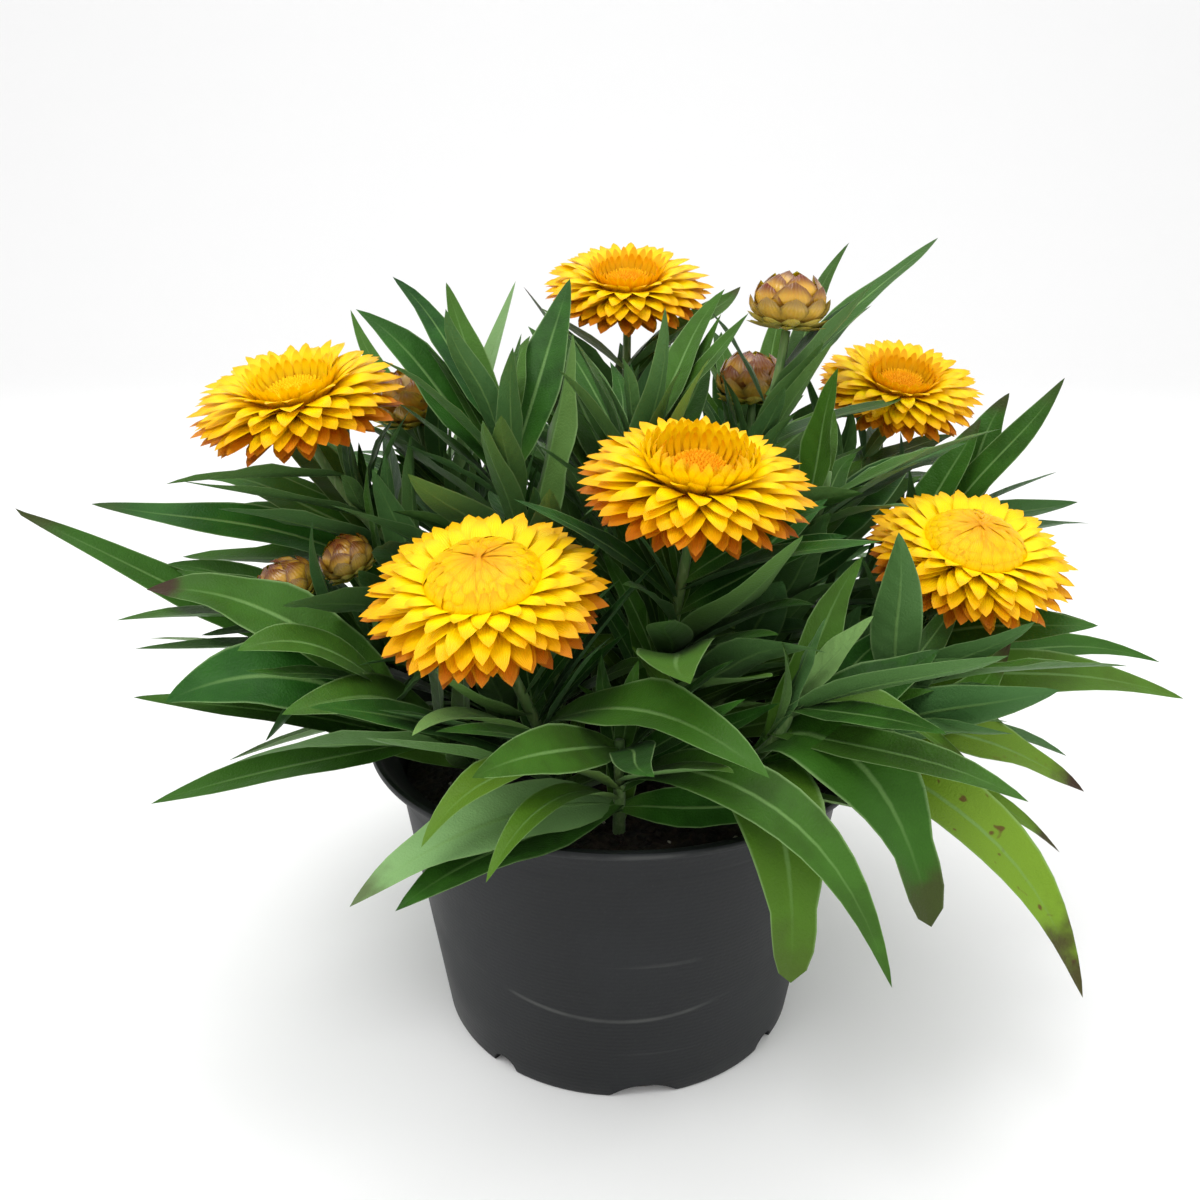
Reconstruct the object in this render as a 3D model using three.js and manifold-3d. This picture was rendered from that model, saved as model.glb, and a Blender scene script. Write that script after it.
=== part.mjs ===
// Potted strawflower: a bushy bedding plant with open flower heads and buds, rooted in the
// soil of a round nursery pot. Millimetres, +Z up, the front of the plant towards -Y.
// The origin is the middle of the pot's flat underside.
import * as THREE from "three";
import { mergeVertices } from "three/addons/utils/BufferGeometryUtils.js";
import Module from "manifold-3d";

const wasm = await Module();
wasm.setup();

// Driving dimensions of the pot
const POT_HEIGHT = 105;
const LIP_RADIUS = 85;
const BASE_RADIUS = 62.5;
const COLLAR_TOP_RADIUS = 77;
const COLLAR_STEP = 0.6;
const COLLAR_HEIGHT = 10;
const FLARE_HEIGHT = 5.5;
const LIP_HEIGHT = 2.6;
const POT_WALL = 1.5;
const FLOOR = 2;
const POT_SIDES = 36;
const NOTCH_COUNT = 8;
const NOTCH_TURN = 8;
const WIDE_NOTCH = 23;
const NARROW_NOTCH = 10;
const NOTCH_HEIGHT = 5;
const NOTCH_DEPTH = 16;
const NOTCH_SIDES = 16;
const BASE_ROUNDING = 1.3;
const LIP_ROUNDING = 1.5;
const LIP_WIDTH = 3;

// Driving dimensions of the soil
const SOIL_TOP = 91;
const SOIL_CROWN = 3;
const SOIL_CROWN_RADIUS = 25;
const SOIL_SHOULDER_RADIUS = 50;
const SOIL_CLEARANCE = 0.5;
const SOIL_SIDES = 24;
const GAP = 0.3;

// Driving dimensions of the leafy stems
const STEM_RADIUS = 2;
const STEM_SIDES = 4;
const STEM_STEPS = 3;
const STEM_LEAN = 0.25;
const STEM_KNEE = 0.45;
const STEM_BEND = 0.25;
const ROOT_DEPTH = 20;
const HOLE_CLEARANCE = 1.2;
const HOLE_REACH = 12;

// Driving dimensions of the leaves: lengths in millimetres, angles in degrees, and the rest
// as shares of a leaf's or a stem's length. A pair of numbers is a range that a draw falls in,
// or runs from a stem's foot to its top.
const LEAF_THICKNESS = 1.1;
const LEAF_FOLD = 0.22;
const LEAF_CLEARANCE = 0.5;
const LEAF_LENGTH = [108, 66];
const LENGTH_PLAY = [0.85, 1.12];
const INWARD_LENGTH = 0.8;
const LEAF_BREADTH = [0.17, 0.24];
const LEAF_SPACING = 20.5;
const LEAF_HEIGHTS = [0.1, 0.9];
const LEAF_ROLL = [-25, 25];
const LEAF_TWIST = [-20, 20];
const LEAF_SPREAD = [66, 30];
const SPREAD_PLAY = 8;
const LEAF_ARCH = [0.1, 0.5];
const LEAF_DROOP = [0.25, 0.05];
const STALK_BREADTH = 0.09;
const BROAD_LEAF = 16;
const BROAD_STATIONS = [0, 0.24, 0.54, 0.82];
const LEAF_STATIONS = [0, 0.36, 0.76];
const OUTER_STATIONS = [0.24, 0.54, 0.82];
const SHORTENING_EFFORT = 90;
const SLIVER = 0.01;

// The plant is a mound: no leaf of the rule reaches out of it, or hangs below its skirt
const MOUND_HEIGHT = 256;
const MOUND_RADIUS = 225;
const REACH_LIMIT = 172;
const SKIRT_HEIGHT = 104;

// Driving dimensions of the flower heads, for a head 70 mm across
const HEAD_DIAMETER = 70;
const HEAD_DEPTH = 7;
const BRACTS = 13;
const BRACT_BREADTH = 0.96;
const BRACT_THICKNESS = 0.9;
const LOWER_ROWS_TOP = -3.2;
const UPPER_ROWS_FOOT = -2.7;
const DISC_FLOOR = 2;
const DISC_RIM = 0.6;
const DISC_SIDES = 12;
const DISC_RINGS = 3;
const FLORET_RISE = 0.5;
const FLORET_DIP = -0.2;

// Driving dimensions of the buds, for a bud 1 across
const BUD_DEPTH = 0.46;
const BUD_FOOT = -0.51;
const BUD_TOP = 0.24;
const BUD_BRACTS = 6;
const BUD_BREADTH = 0.94;
const BUD_FLARE = 0.14;
const BUD_FLATTENING = 0.88;

const UP = new THREE.Vector3(0, 0, 1);
const GOLDEN_ANGLE = Math.PI * (3 - Math.sqrt(5));
const radians = THREE.MathUtils.degToRad;
const mix = THREE.MathUtils.lerp;
const point = (x, y, z) => new THREE.Vector3(x, y, z);

// Materials
const material = (color, roughness) => new THREE.MeshStandardMaterial({ color, roughness, metalness: 0 });
const POT_PLASTIC = material(0x2f3032, 0.5);
const PEAT = material(0x1d1814, 0.95);
const GREEN = material(0x3f6b35, 0.6);
const YELLOW = material(0xfbcd0a, 0.55);
const ORANGE = material(0xe08a16, 0.55);
const DISC_ORANGE = material(0xe8940f, 0.8);
const BUD_BROWN = material(0x9a6b50, 0.6);
const BUD_RED = material(0x5e2220, 0.6);

// Seeded draws between 0 and 1, the same every time
function seededDraws(seed) {
  let state = seed >>> 0;
  return () => {
    state = (state + 0x6d2b79f5) >>> 0;
    let mixed = Math.imul(state ^ (state >>> 15), state | 1);
    mixed ^= mixed + Math.imul(mixed ^ (mixed >>> 7), mixed | 61);
    return ((mixed ^ (mixed >>> 14)) >>> 0) / 4294967296;
  };
}

// Turns a closed geometry into a solid that can be joined and cut, with points closer
// than the weld distance made one
function toSolid(source, weld = 1e-4) {
  const bare = source.clone();
  bare.deleteAttribute("normal");
  bare.deleteAttribute("uv");
  const merged = mergeVertices(bare, weld);
  const corners = merged.index.array;
  const faces = [];
  for (let i = 0; i < corners.length; i += 3) {
    const [a, b, c] = [corners[i], corners[i + 1], corners[i + 2]];
    if (a !== b && b !== c && c !== a) faces.push(a, b, c);
  }
  const mesh = new wasm.Mesh({
    numProp: 3,
    vertProperties: new Float32Array(merged.attributes.position.array),
    triVerts: new Uint32Array(faces),
  });
  return new wasm.Manifold(mesh);
}

function toGeometry(solid) {
  const mesh = solid.getMesh();
  const geometry = new THREE.BufferGeometry();
  geometry.setAttribute("position", new THREE.BufferAttribute(mesh.vertProperties, 3));
  geometry.setIndex(new THREE.BufferAttribute(mesh.triVerts, 1));
  geometry.computeVertexNormals();
  return geometry;
}

const fuse = (solids) => solids.reduce((whole, piece) => whole.add(piece));

function lathe(profile, sides) {
  const points = profile.map(([radius, height]) => new THREE.Vector2(radius, height));
  return new THREE.LatheGeometry(points, sides).rotateX(Math.PI / 2);
}

// Joins rings of section points into a closed blade that ends in one tip point. Even points
// of a section are edges and odd ones are faces, and each quad is split from its edge point,
// so that the upper and lower face are split alike and a waved blade never crosses itself.
function bladeGeometry(sections, tip) {
  const count = sections[0].length;
  const positions = [];
  const faces = [];
  const cornerOf = (ring, j) => ring * count + (j % count);
  sections.flat().concat([tip]).forEach((corner) => positions.push(corner.x, corner.y, corner.z));
  for (let ring = 0; ring < sections.length - 1; ring += 1) {
    for (let j = 0; j < count; j += 1) {
      const [a, b] = [cornerOf(ring, j), cornerOf(ring, j + 1)];
      const [c, d] = [cornerOf(ring + 1, j + 1), cornerOf(ring + 1, j)];
      if (j % 2 === 0) faces.push(a, b, c, a, c, d);
      else faces.push(a, b, d, b, c, d);
    }
  }
  const last = sections.length - 1;
  const tipIndex = sections.length * count;
  for (let j = 0; j < count; j += 1) {
    faces.push(cornerOf(last, j), cornerOf(last, j + 1), tipIndex);
  }
  for (let j = 1; j < count - 1; j += 1) {
    if (count === 4 && j === 2) faces.push(1, 3, 2);
    else if (count === 4) faces.push(0, 3, 1);
    else faces.push(0, j + 1, j);
  }
  const geometry = new THREE.BufferGeometry();
  geometry.setAttribute("position", new THREE.Float32BufferAttribute(positions, 3));
  geometry.setIndex(faces);
  return geometry;
}

// The pot
function potSolid() {
  const collarTop = POT_HEIGHT - FLARE_HEIGHT;
  const collarFoot = collarTop - COLLAR_HEIGHT;
  const slope = (COLLAR_TOP_RADIUS - BASE_RADIUS) / collarTop;
  const wallAt = (height) => BASE_RADIUS + slope * height;
  const profile = [
    [0, 0],
    [BASE_RADIUS - BASE_ROUNDING, 0],
    [wallAt(BASE_ROUNDING), BASE_ROUNDING],
    [wallAt(collarFoot), collarFoot],
    [wallAt(collarFoot) + COLLAR_STEP, collarFoot + COLLAR_STEP],
    [COLLAR_TOP_RADIUS, collarTop],
    [LIP_RADIUS - LIP_ROUNDING, POT_HEIGHT - LIP_HEIGHT],
    [LIP_RADIUS, POT_HEIGHT - LIP_HEIGHT + LIP_ROUNDING / 2],
    [LIP_RADIUS - LIP_ROUNDING / 4, POT_HEIGHT - LIP_ROUNDING / 4],
    [LIP_RADIUS - LIP_ROUNDING, POT_HEIGHT],
    [LIP_RADIUS - LIP_WIDTH, POT_HEIGHT - LIP_ROUNDING / 2],
    [COLLAR_TOP_RADIUS - POT_WALL, collarTop + COLLAR_STEP],
    [wallAt(FLOOR) - POT_WALL, FLOOR],
    [0, FLOOR],
  ];
  let pot = toSolid(lathe(profile, POT_SIDES));
  for (let i = 0; i < NOTCH_COUNT; i += 1) {
    const width = i % 2 === 0 ? WIDE_NOTCH : NARROW_NOTCH;
    const arcRadius = (width * width / 4 + NOTCH_HEIGHT * NOTCH_HEIGHT) / (2 * NOTCH_HEIGHT);
    const cutter = new THREE.CylinderGeometry(arcRadius, arcRadius, NOTCH_DEPTH, NOTCH_SIDES);
    cutter.translate(0, -(BASE_RADIUS + 1), NOTCH_HEIGHT - arcRadius);
    const turn = NOTCH_TURN + i * 360 / NOTCH_COUNT;
    cutter.rotateZ(radians(turn));
    pot = pot.subtract(toSolid(cutter));
  }
  return pot;
}

// The soil, with a plain hole for each stem
function soilSolid(stems) {
  const slope = (COLLAR_TOP_RADIUS - BASE_RADIUS) / (POT_HEIGHT - FLARE_HEIGHT);
  const innerAt = (height) => BASE_RADIUS + slope * height - POT_WALL - GAP;
  const profile = [
    [0, FLOOR + GAP],
    [innerAt(FLOOR) - SOIL_CLEARANCE, FLOOR + GAP],
    [innerAt(SOIL_TOP) - SOIL_CLEARANCE, SOIL_TOP],
    [SOIL_SHOULDER_RADIUS, SOIL_TOP + SOIL_CROWN / 2],
    [SOIL_CROWN_RADIUS, SOIL_TOP + SOIL_CROWN],
    [0, SOIL_TOP + SOIL_CROWN],
  ];
  const holes = stems.map((stem) => toSolid(tube(stem.hole, STEM_RADIUS + HOLE_CLEARANCE, STEM_SIDES, 1)));
  return holes.reduce((soil, hole) => soil.subtract(hole), toSolid(lathe(profile, SOIL_SIDES)));
}

function tube(curve, radius, sides, steps) {
  const section = new THREE.Shape();
  for (let i = 0; i < sides; i += 1) {
    const angle = i * 2 * Math.PI / sides;
    const corner = [radius * Math.cos(angle), radius * Math.sin(angle)];
    if (i === 0) section.moveTo(...corner);
    else section.lineTo(...corner);
  }
  section.closePath();
  return new THREE.ExtrudeGeometry(section, { extrudePath: curve, steps });
}

// The flower heads: name, middle of the head, width, tilt from upright towards the front and
// towards the right, in degrees, the way its middle is open, and where its stem leaves the soil
const HEADS = [
  { name: "a", at: point(-105, 9, 214), wide: 70, front: 16, right: -6, middle: "disc", root: [-33, 2] },
  { name: "b", at: point(2, 97, 244), wide: 66, front: 20, right: 0, middle: "disc", root: [0, 34] },
  { name: "c", at: point(22, -34, 197), wide: 70, front: 14, right: 4, middle: "ring", root: [10, -13] },
  { name: "d", at: point(-38, -54, 170), wide: 70, front: 20, right: -4, middle: "dome", root: [-14, -37] },
  { name: "e", at: point(108, 86, 207), wide: 64, front: 22, right: 4, middle: "disc", root: [36, 28] },
  { name: "f", at: point(110, -12, 169), wide: 66, front: 20, right: 6, middle: "dome", root: [41, -10] },
];

// The buds: name, middle, diameter, tilt, colour and root, as for the flower heads
const BUDS = [
  { name: "g", at: point(56, 35, 244), wide: 23, front: 0, right: 4, open: 0.3, root: [19, 13] },
  { name: "h", at: point(49, 72, 214), wide: 24, front: 4, right: -2, open: 0.1, root: [20, 38] },
  { name: "i", at: point(-107, -18, 161), wide: 19, front: 10, right: -32, open: 0, root: [-41, 20] },
  { name: "j", at: point(-77, 60, 208), wide: 25, front: 8, right: -8, open: 0.7, root: [-27, 24] },
  { name: "k", at: point(102, 34, 134), wide: 22, front: 20, right: 40, open: 0.4, root: [46, 10] },
  { name: "m", at: point(-89, -9, 167), wide: 16.5, front: 8, right: -25, open: 0, root: [-36, 30] },
];

// Leafy shoots with no flower: name, top and root
const SHOOTS = [
  { name: "n", at: point(-40, 12, 205), root: [-17, 0] },
  { name: "o", at: point(6, 14, 205), root: [1, 10] },
  { name: "p", at: point(68, 12, 190), root: [26, 2] },
  { name: "q", at: point(132, 54, 172), root: [42, 34] },
  { name: "r", at: point(0, -62, 128), root: [0, -45] },
  { name: "s", at: point(48, -62, 140), root: [22, -32] },
  { name: "t", at: point(-74, -42, 138), root: [-34, -20] },
  { name: "u", at: point(-82, 98, 176), root: [-24, 42] },
  { name: "v", at: point(-26, 128, 186), root: [-8, 50] },
  { name: "w", at: point(64, 132, 186), root: [16, 54] },
  { name: "x", at: point(88, -38, 138), root: [38, -22] },
  { name: "y", at: point(104, 112, 162), root: [27, 43] },
];

// The way a head or bud faces
function facing({ front = 0, right = 0 }) {
  return point(Math.tan(radians(right)), -Math.tan(radians(front)), 1).normalize();
}

// A stem's curve runs from its foot in the soil to just under what it carries
function stemOf(plan, under) {
  const axis = facing(plan);
  const top = plan.at.clone().addScaledVector(axis, -under);
  const foot = point(plan.root[0], plan.root[1], SOIL_TOP - ROOT_DEPTH);
  const reach = top.distanceTo(foot);
  const rise = point(plan.root[0] * STEM_LEAN, plan.root[1] * STEM_LEAN, reach).normalize();
  const knee = foot.clone().addScaledVector(rise, reach * STEM_KNEE);
  const bend = top.clone().addScaledVector(axis, -reach * STEM_BEND);
  const curve = new THREE.CubicBezierCurve3(foot, knee, bend, top);
  const joints = curve.getSpacedPoints(STEM_STEPS);
  const buried = joints[1].clone().sub(foot).normalize();
  const holeTop = foot.clone().addScaledVector(buried, ROOT_DEPTH + HOLE_REACH);
  const holeFoot = foot.clone().addScaledVector(buried, -HOLE_CLEARANCE);
  const hole = new THREE.LineCurve3(holeFoot, holeTop);
  return { name: plan.name, curve, joints, hole, reach };
}

const STEMS = [
  ...HEADS.map((plan) => stemOf(plan, HEAD_DEPTH + GAP)),
  ...BUDS.map((plan) => stemOf(plan, plan.wide * BUD_DEPTH + GAP)),
  ...SHOOTS.map((plan) => stemOf(plan, 0)),
];

// A leaf's breadth along its length, from 0 at the root to 1 at the tip: widest a little
// before its middle, and never less than its stalk's
function leafOutline(along) {
  return Math.max(Math.sin(Math.PI * along ** 0.75) ** 0.85, STALK_BREADTH * (1 - along));
}

// A leaf is a folded blade along a curve of three points. Its side direction is turned by
// roll at the root and by roll and twist together at the tip.
function leafGeometry(leaf, stations, margin) {
  const curve = new THREE.QuadraticBezierCurve3(leaf.root, leaf.knee, leaf.tip);
  const sections = stations.map((along) => {
    const middle = curve.getPoint(along);
    const tangent = curve.getTangent(along);
    const side = leaf.side.clone().addScaledVector(tangent, -leaf.side.dot(tangent)).normalize();
    side.applyAxisAngle(tangent, radians(leaf.roll + leaf.twist * along));
    const normal = new THREE.Vector3().crossVectors(tangent, side);
    const half = leaf.wide / 2 * leafOutline(along) + margin;
    const lift = LEAF_FOLD * half;
    const deep = LEAF_THICKNESS / 2 + margin;
    const edge = (way) => middle.clone().addScaledVector(side, way * half).addScaledVector(normal, lift);
    const face = (way) => middle.clone().addScaledVector(normal, way * deep);
    return [edge(1), face(1), edge(-1), face(-1)];
  });
  return bladeGeometry(sections, leaf.tip);
}

// The ways a leaf may be bent to pass clear of its neighbours, the smallest bends first
const BENDS = [];
for (const size of [1, 0.86, 0.72, 0.58]) {
  for (const lift of [0, 9, -9, 18, -18, 27]) {
    for (const turn of [0, 11, -11, 22, -22, 33, -33]) {
      const effort = Math.abs(lift) + Math.abs(turn) + (1 - size) * SHORTENING_EFFORT;
      BENDS.push({ size, lift, turn, effort });
    }
  }
}
BENDS.sort((one, other) => one.effort - other.effort);

// A leaf bent sideways about the stem, up or down about its own side, and shortened
function bentLeaf(leaf, bend) {
  const move = (spot) => {
    const arm = spot.clone().sub(leaf.root).multiplyScalar(bend.size);
    arm.applyAxisAngle(leaf.side, -radians(bend.lift));
    arm.applyAxisAngle(leaf.stemWay, radians(bend.turn));
    return arm.add(leaf.root);
  };
  const side = leaf.side.clone().applyAxisAngle(leaf.stemWay, radians(bend.turn));
  const wide = leaf.wide * Math.sqrt(bend.size);
  return { ...leaf, side, wide, knee: move(leaf.knee), tip: move(leaf.tip) };
}

// The side direction that lets a leaf's upper face look up and towards its stem
function levelSide(root, tip) {
  const level = tip.clone().sub(root).setZ(0);
  return level.lengthSq() < 1 ? point(1, 0, 0) : level.normalize().cross(UP).negate();
}

// Leaves set one by one, those that show most: the stem each grows on, how far up it,
// the place of its tip, how far its middle stands above a straight line, its breadth,
// and its roll and twist in degrees
const CHOSEN_LEAVES = [
  // Left side
  ["i", 0.55, [-190, -16, 185], -8, 15, -35, 0],
  ["a", 0.5, [-162, -8, 200], 6, 16, -30, 0],
  ["t", 0.75, [-149, -34, 153], 10, 22, -25, 0],
  ["t", 0.62, [-128, -58, 150], 12, 26, -35, 0],
  ["t", 0.4, [-143, -52, 138], 2, 14, -20, 0],
  ["t", 0.25, [-95, -80, 133], 12, 20, -30, 0],
  ["i", 0.7, [-143, -6, 172], 4, 15, -30, 0],
  ["a", 0.62, [-146, 28, 183], 4, 14, -30, 0],
  ["a", 0.55, [-136, 42, 192], 6, 15, -25, 0],
  ["t", 0.9, [-104, -70, 158], 8, 16, -25, 0],
  // Over the rim at the front left
  ["r", 0.35, [-68, -112, 108], 8, 22, -30, 30],
  ["r", 0.5, [-50, -108, 122], 14, 17, 0, 0],
  ["r", 0.4, [-32, -110, 124], 12, 11, 0, 0],
  ["d", 0.3, [-54, -88, 142], 8, 13, 0, 0],
  // Over the rim at the front and right
  ["r", 0.55, [66, -124, 93], 26, 19, 15, 0],
  ["s", 0.4, [46, -112, 100], 26, 26, 0, 0],
  ["s", 0.6, [83, -98, 92], 26, 27, 25, 0],
  ["x", 0.4, [127, -98, 70], 20, 22, 10, 10],
  ["s", 0.75, [94, -80, 108], 16, 17, 0, 0],
  ["x", 0.6, [145, -40, 101], 8, 16, 30, 0],
  ["x", 0.35, [139, -46, 84], 8, 11, 20, 0],
  ["x", 0.8, [122, -30, 142], -14, 15, 20, 40],
  ["f", 0.45, [185, -14, 122], 5, 17, 35, 0],
  ["k", 0.7, [184, 18, 156], 2, 14, 30, 0],
  ["f", 0.6, [148, -24, 150], 4, 18, 30, 0],
  // Right side, up
  ["q", 0.75, [154, 46, 217], 0, 15, 35, 0],
  ["q", 0.85, [148, 62, 205], 0, 16, 30, 0],
  ["q", 0.65, [146, 58, 190], 2, 16, 30, 0],
  ["x", 0.9, [77, -50, 187], -2, 15, 15, 0],
  ["p", 0.8, [77, 12, 222], 0, 16, 20, 0],
  // Top
  ["g", 0.75, [82, 78, 262], -2, 10, 0, 0],
  ["g", 0.85, [120, 80, 250], 2, 13, 0, 0],
  ["h", 0.85, [94, 84, 238], 2, 12, 0, 0],
  ["b", 0.8, [36, 110, 257], 4, 12, 0, 40],
  ["h", 0.75, [64, 98, 254], 0, 11, 0, 0],
  ["o", 0.8, [14, 4, 243], -4, 14, 0, 10],
  ["n", 0.85, [-19, 52, 250], -2, 19, 0, 0],
  ["b", 0.7, [-29, 86, 250], 0, 13, 0, 0],
  ["j", 0.75, [-41, 72, 248], 0, 13, 0, 0],
  ["n", 0.75, [-61, 48, 248], 2, 14, 0, 0],
  ["j", 0.6, [-99, 92, 244], 2, 12, 0, 0],
  ["n", 0.6, [-36, 6, 236], -2, 18, 10, 0],
  ["o", 0.7, [31, 28, 240], 0, 13, 0, 0],
  ["o", 0.6, [26, -2, 229], 2, 14, 10, 0],
  // Middle of the front
  ["d", 0.42, [37, -104, 141], 11, 22, 15, 0],
  ["c", 0.5, [48, -68, 190], -4, 21, 0, 0],
  ["c", 0.45, [14, -76, 172], 0, 13, 0, 10],
  ["s", 0.9, [68, -66, 168], 0, 15, 20, 0],
  ["s", 0.7, [86, -52, 160], -2, 22, 25, 0],
  ["c", 0.3, [38, -92, 160], 2, 11, 0, 0],
  ["d", 0.5, [-52, -84, 143], -4, 12, 0, 0],
];

// A leaf's own frame: its root lies on the middle line of the stem, at a height from 0 at
// the soil to 1 at the stem's top, and it is bent about the stem's direction
function rootedLeaf(stem, height, shape) {
  const steps = mix(ROOT_DEPTH / stem.reach, 1, height) * STEM_STEPS;
  const step = Math.min(Math.floor(steps), STEM_STEPS - 1);
  const [from, to] = [stem.joints[step], stem.joints[step + 1]];
  const stemWay = to.clone().sub(from).normalize();
  return { stem, root: from.clone().lerp(to, steps - step), stemWay, ...shape };
}

function chosenLeaf([name, height, tip, arch, wide, roll, twist]) {
  const stem = STEMS.find((candidate) => candidate.name === name);
  const leaf = rootedLeaf(stem, height, { tip: point(...tip), wide, roll, twist });
  leaf.side = levelSide(leaf.root, leaf.tip);
  leaf.knee = leaf.root.clone().add(leaf.tip).multiplyScalar(0.5).addScaledVector(UP, 2 * arch);
  return leaf;
}

// Leaves that follow the rule of the plant: one after another up the stem, each a golden
// angle further round it, long and spreading at its foot, short and upright at its top
function ruledLeaf(stem, stemNumber, order, count) {
  const draw = seededDraws(1000 * (stemNumber + 1) + order);
  const height = mix(...LEAF_HEIGHTS, (order + 0.3 + 0.4 * draw()) / count);
  const roll = mix(...LEAF_ROLL, draw());
  const twist = mix(...LEAF_TWIST, draw());
  const leaf = rootedLeaf(stem, height, { roll, twist });
  const outward = point(leaf.root.x, leaf.root.y, 0).normalize();
  const first = outward.addScaledVector(leaf.stemWay, -outward.dot(leaf.stemWay)).normalize();
  const turn = order * GOLDEN_ANGLE + 2 * Math.PI * draw();
  const around = first.clone().applyAxisAngle(leaf.stemWay, turn);
  const outwards = around.dot(first);
  const play = mix(-SPREAD_PLAY, SPREAD_PLAY, draw());
  const spread = radians(mix(...LEAF_SPREAD, height) + play + SPREAD_PLAY * outwards);
  const drawnLength = mix(...LEAF_LENGTH, height) * mix(...LENGTH_PLAY, draw());
  const length = drawnLength * mix(INWARD_LENGTH, 1, outwards);
  const start = leaf.stemWay.clone().multiplyScalar(Math.cos(spread));
  start.addScaledVector(around, Math.sin(spread));
  const end = start.clone().addScaledVector(around, mix(...LEAF_ARCH, draw()));
  end.addScaledVector(UP, -mix(...LEAF_DROOP, height)).normalize();
  leaf.knee = leaf.root.clone().addScaledVector(start, length / 2);
  leaf.tip = leaf.knee.clone().addScaledVector(end, length / 2);
  leaf.side = new THREE.Vector3().crossVectors(leaf.stemWay, around).normalize();
  leaf.wide = length * mix(...LEAF_BREADTH, draw());
  return leaf;
}

function staysInMound(leaf) {
  const reach = Math.hypot(leaf.tip.x, leaf.tip.y);
  if (reach > REACH_LIMIT) return false;
  const roof = MOUND_HEIGHT * Math.sqrt(1 - (reach / MOUND_RADIUS) ** 2);
  return leaf.tip.z < roof && leaf.tip.z > SKIRT_HEIGHT;
}

// Solids that a new leaf has to pass clear of, with their boxes for a quick first test
const placed = [];

function remember(owner, solid) {
  const box = solid.boundingBox();
  placed.push({ owner, solid, box });
}

function boxesMeet(one, other) {
  return [0, 1, 2].every((axis) => one.min[axis] < other.max[axis] && other.min[axis] < one.max[axis]);
}

function isClear(solid, ignored) {
  const box = solid.boundingBox();
  return placed.every((other) => {
    if (ignored(other) || !boxesMeet(box, other.box)) return true;
    return solid.intersect(other.solid).isEmpty();
  });
}

// Tries the bends of a leaf in turn, and keeps the first that passes clear of everything:
// the whole leaf of other stems' pieces, and its outer part of its own stem's too
function placeLeaf(leaf, allowed) {
  const stations = leaf.wide > BROAD_LEAF ? BROAD_STATIONS : LEAF_STATIONS;
  for (const bend of BENDS) {
    const bent = bentLeaf(leaf, bend);
    if (!allowed(bent)) continue;
    const whole = toSolid(leafGeometry(bent, stations, LEAF_CLEARANCE));
    if (!isClear(whole, (other) => other.owner === leaf.stem.name)) continue;
    const outer = toSolid(leafGeometry(bent, OUTER_STATIONS, LEAF_CLEARANCE));
    if (!isClear(outer, (other) => other.owner !== leaf.stem.name)) continue;
    const solid = toSolid(leafGeometry(bent, stations, 0));
    remember(leaf.stem.name, solid);
    leaf.stem.solids.push(solid);
    return;
  }
}

// Rows of bracts, from the underside of a head to its middle, on a head 70 mm across. A bract
// springs between foot and heel, is widest at mid and ends at tip, each as [radius, height].
const LOWER_ROWS = [
  { foot: [7, -6.4], heel: [8.5, -5.4], mid: [22, -5.6], tip: [33.5, -8.8] },
  { foot: [9, -4.4], heel: [9.8, -3.2], mid: [23, -2], tip: [35, -3.8] },
];
const UPPER_ROWS = [
  { foot: [9.6, -2.7], heel: [10.2, -1.2], mid: [22, 2.6], tip: [33.5, 2.2] },
  { foot: [10.4, -0.4], heel: [10.6, 0.8], mid: [19.5, 6.2], tip: [28.5, 8.6] },
];
// The innermost bracts stand up round an open disc, ring it closely, or close over it
const INNER_ROWS = {
  disc: [{ foot: [10.6, 1.2], heel: [9.4, 2], mid: [14.5, 7.5], tip: [19, 12] }],
  ring: [
    { foot: [10.6, 1.1], heel: [10.6, 1.6], mid: [16.5, 7.5], tip: [20.5, 12] },
    { foot: [10.4, 1.8], heel: [9.2, 2], mid: [13.6, 8.8], tip: [12.2, 13.6] },
  ],
  dome: [
    { foot: [10.8, 1.1], heel: [11, 1.4], mid: [16.5, 6.4], tip: [20.5, 9.6] },
    { foot: [10.9, 1.6], heel: [9.6, 2], mid: [13.2, 7.6], tip: [5, 11.4] },
  ],
};
const DISCS = {
  disc: { radius: 8.7, height: 4.6 },
  ring: { radius: 8.5, height: 6.5 },
  dome: { radius: 8.4, height: 7.4 },
};

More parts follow.
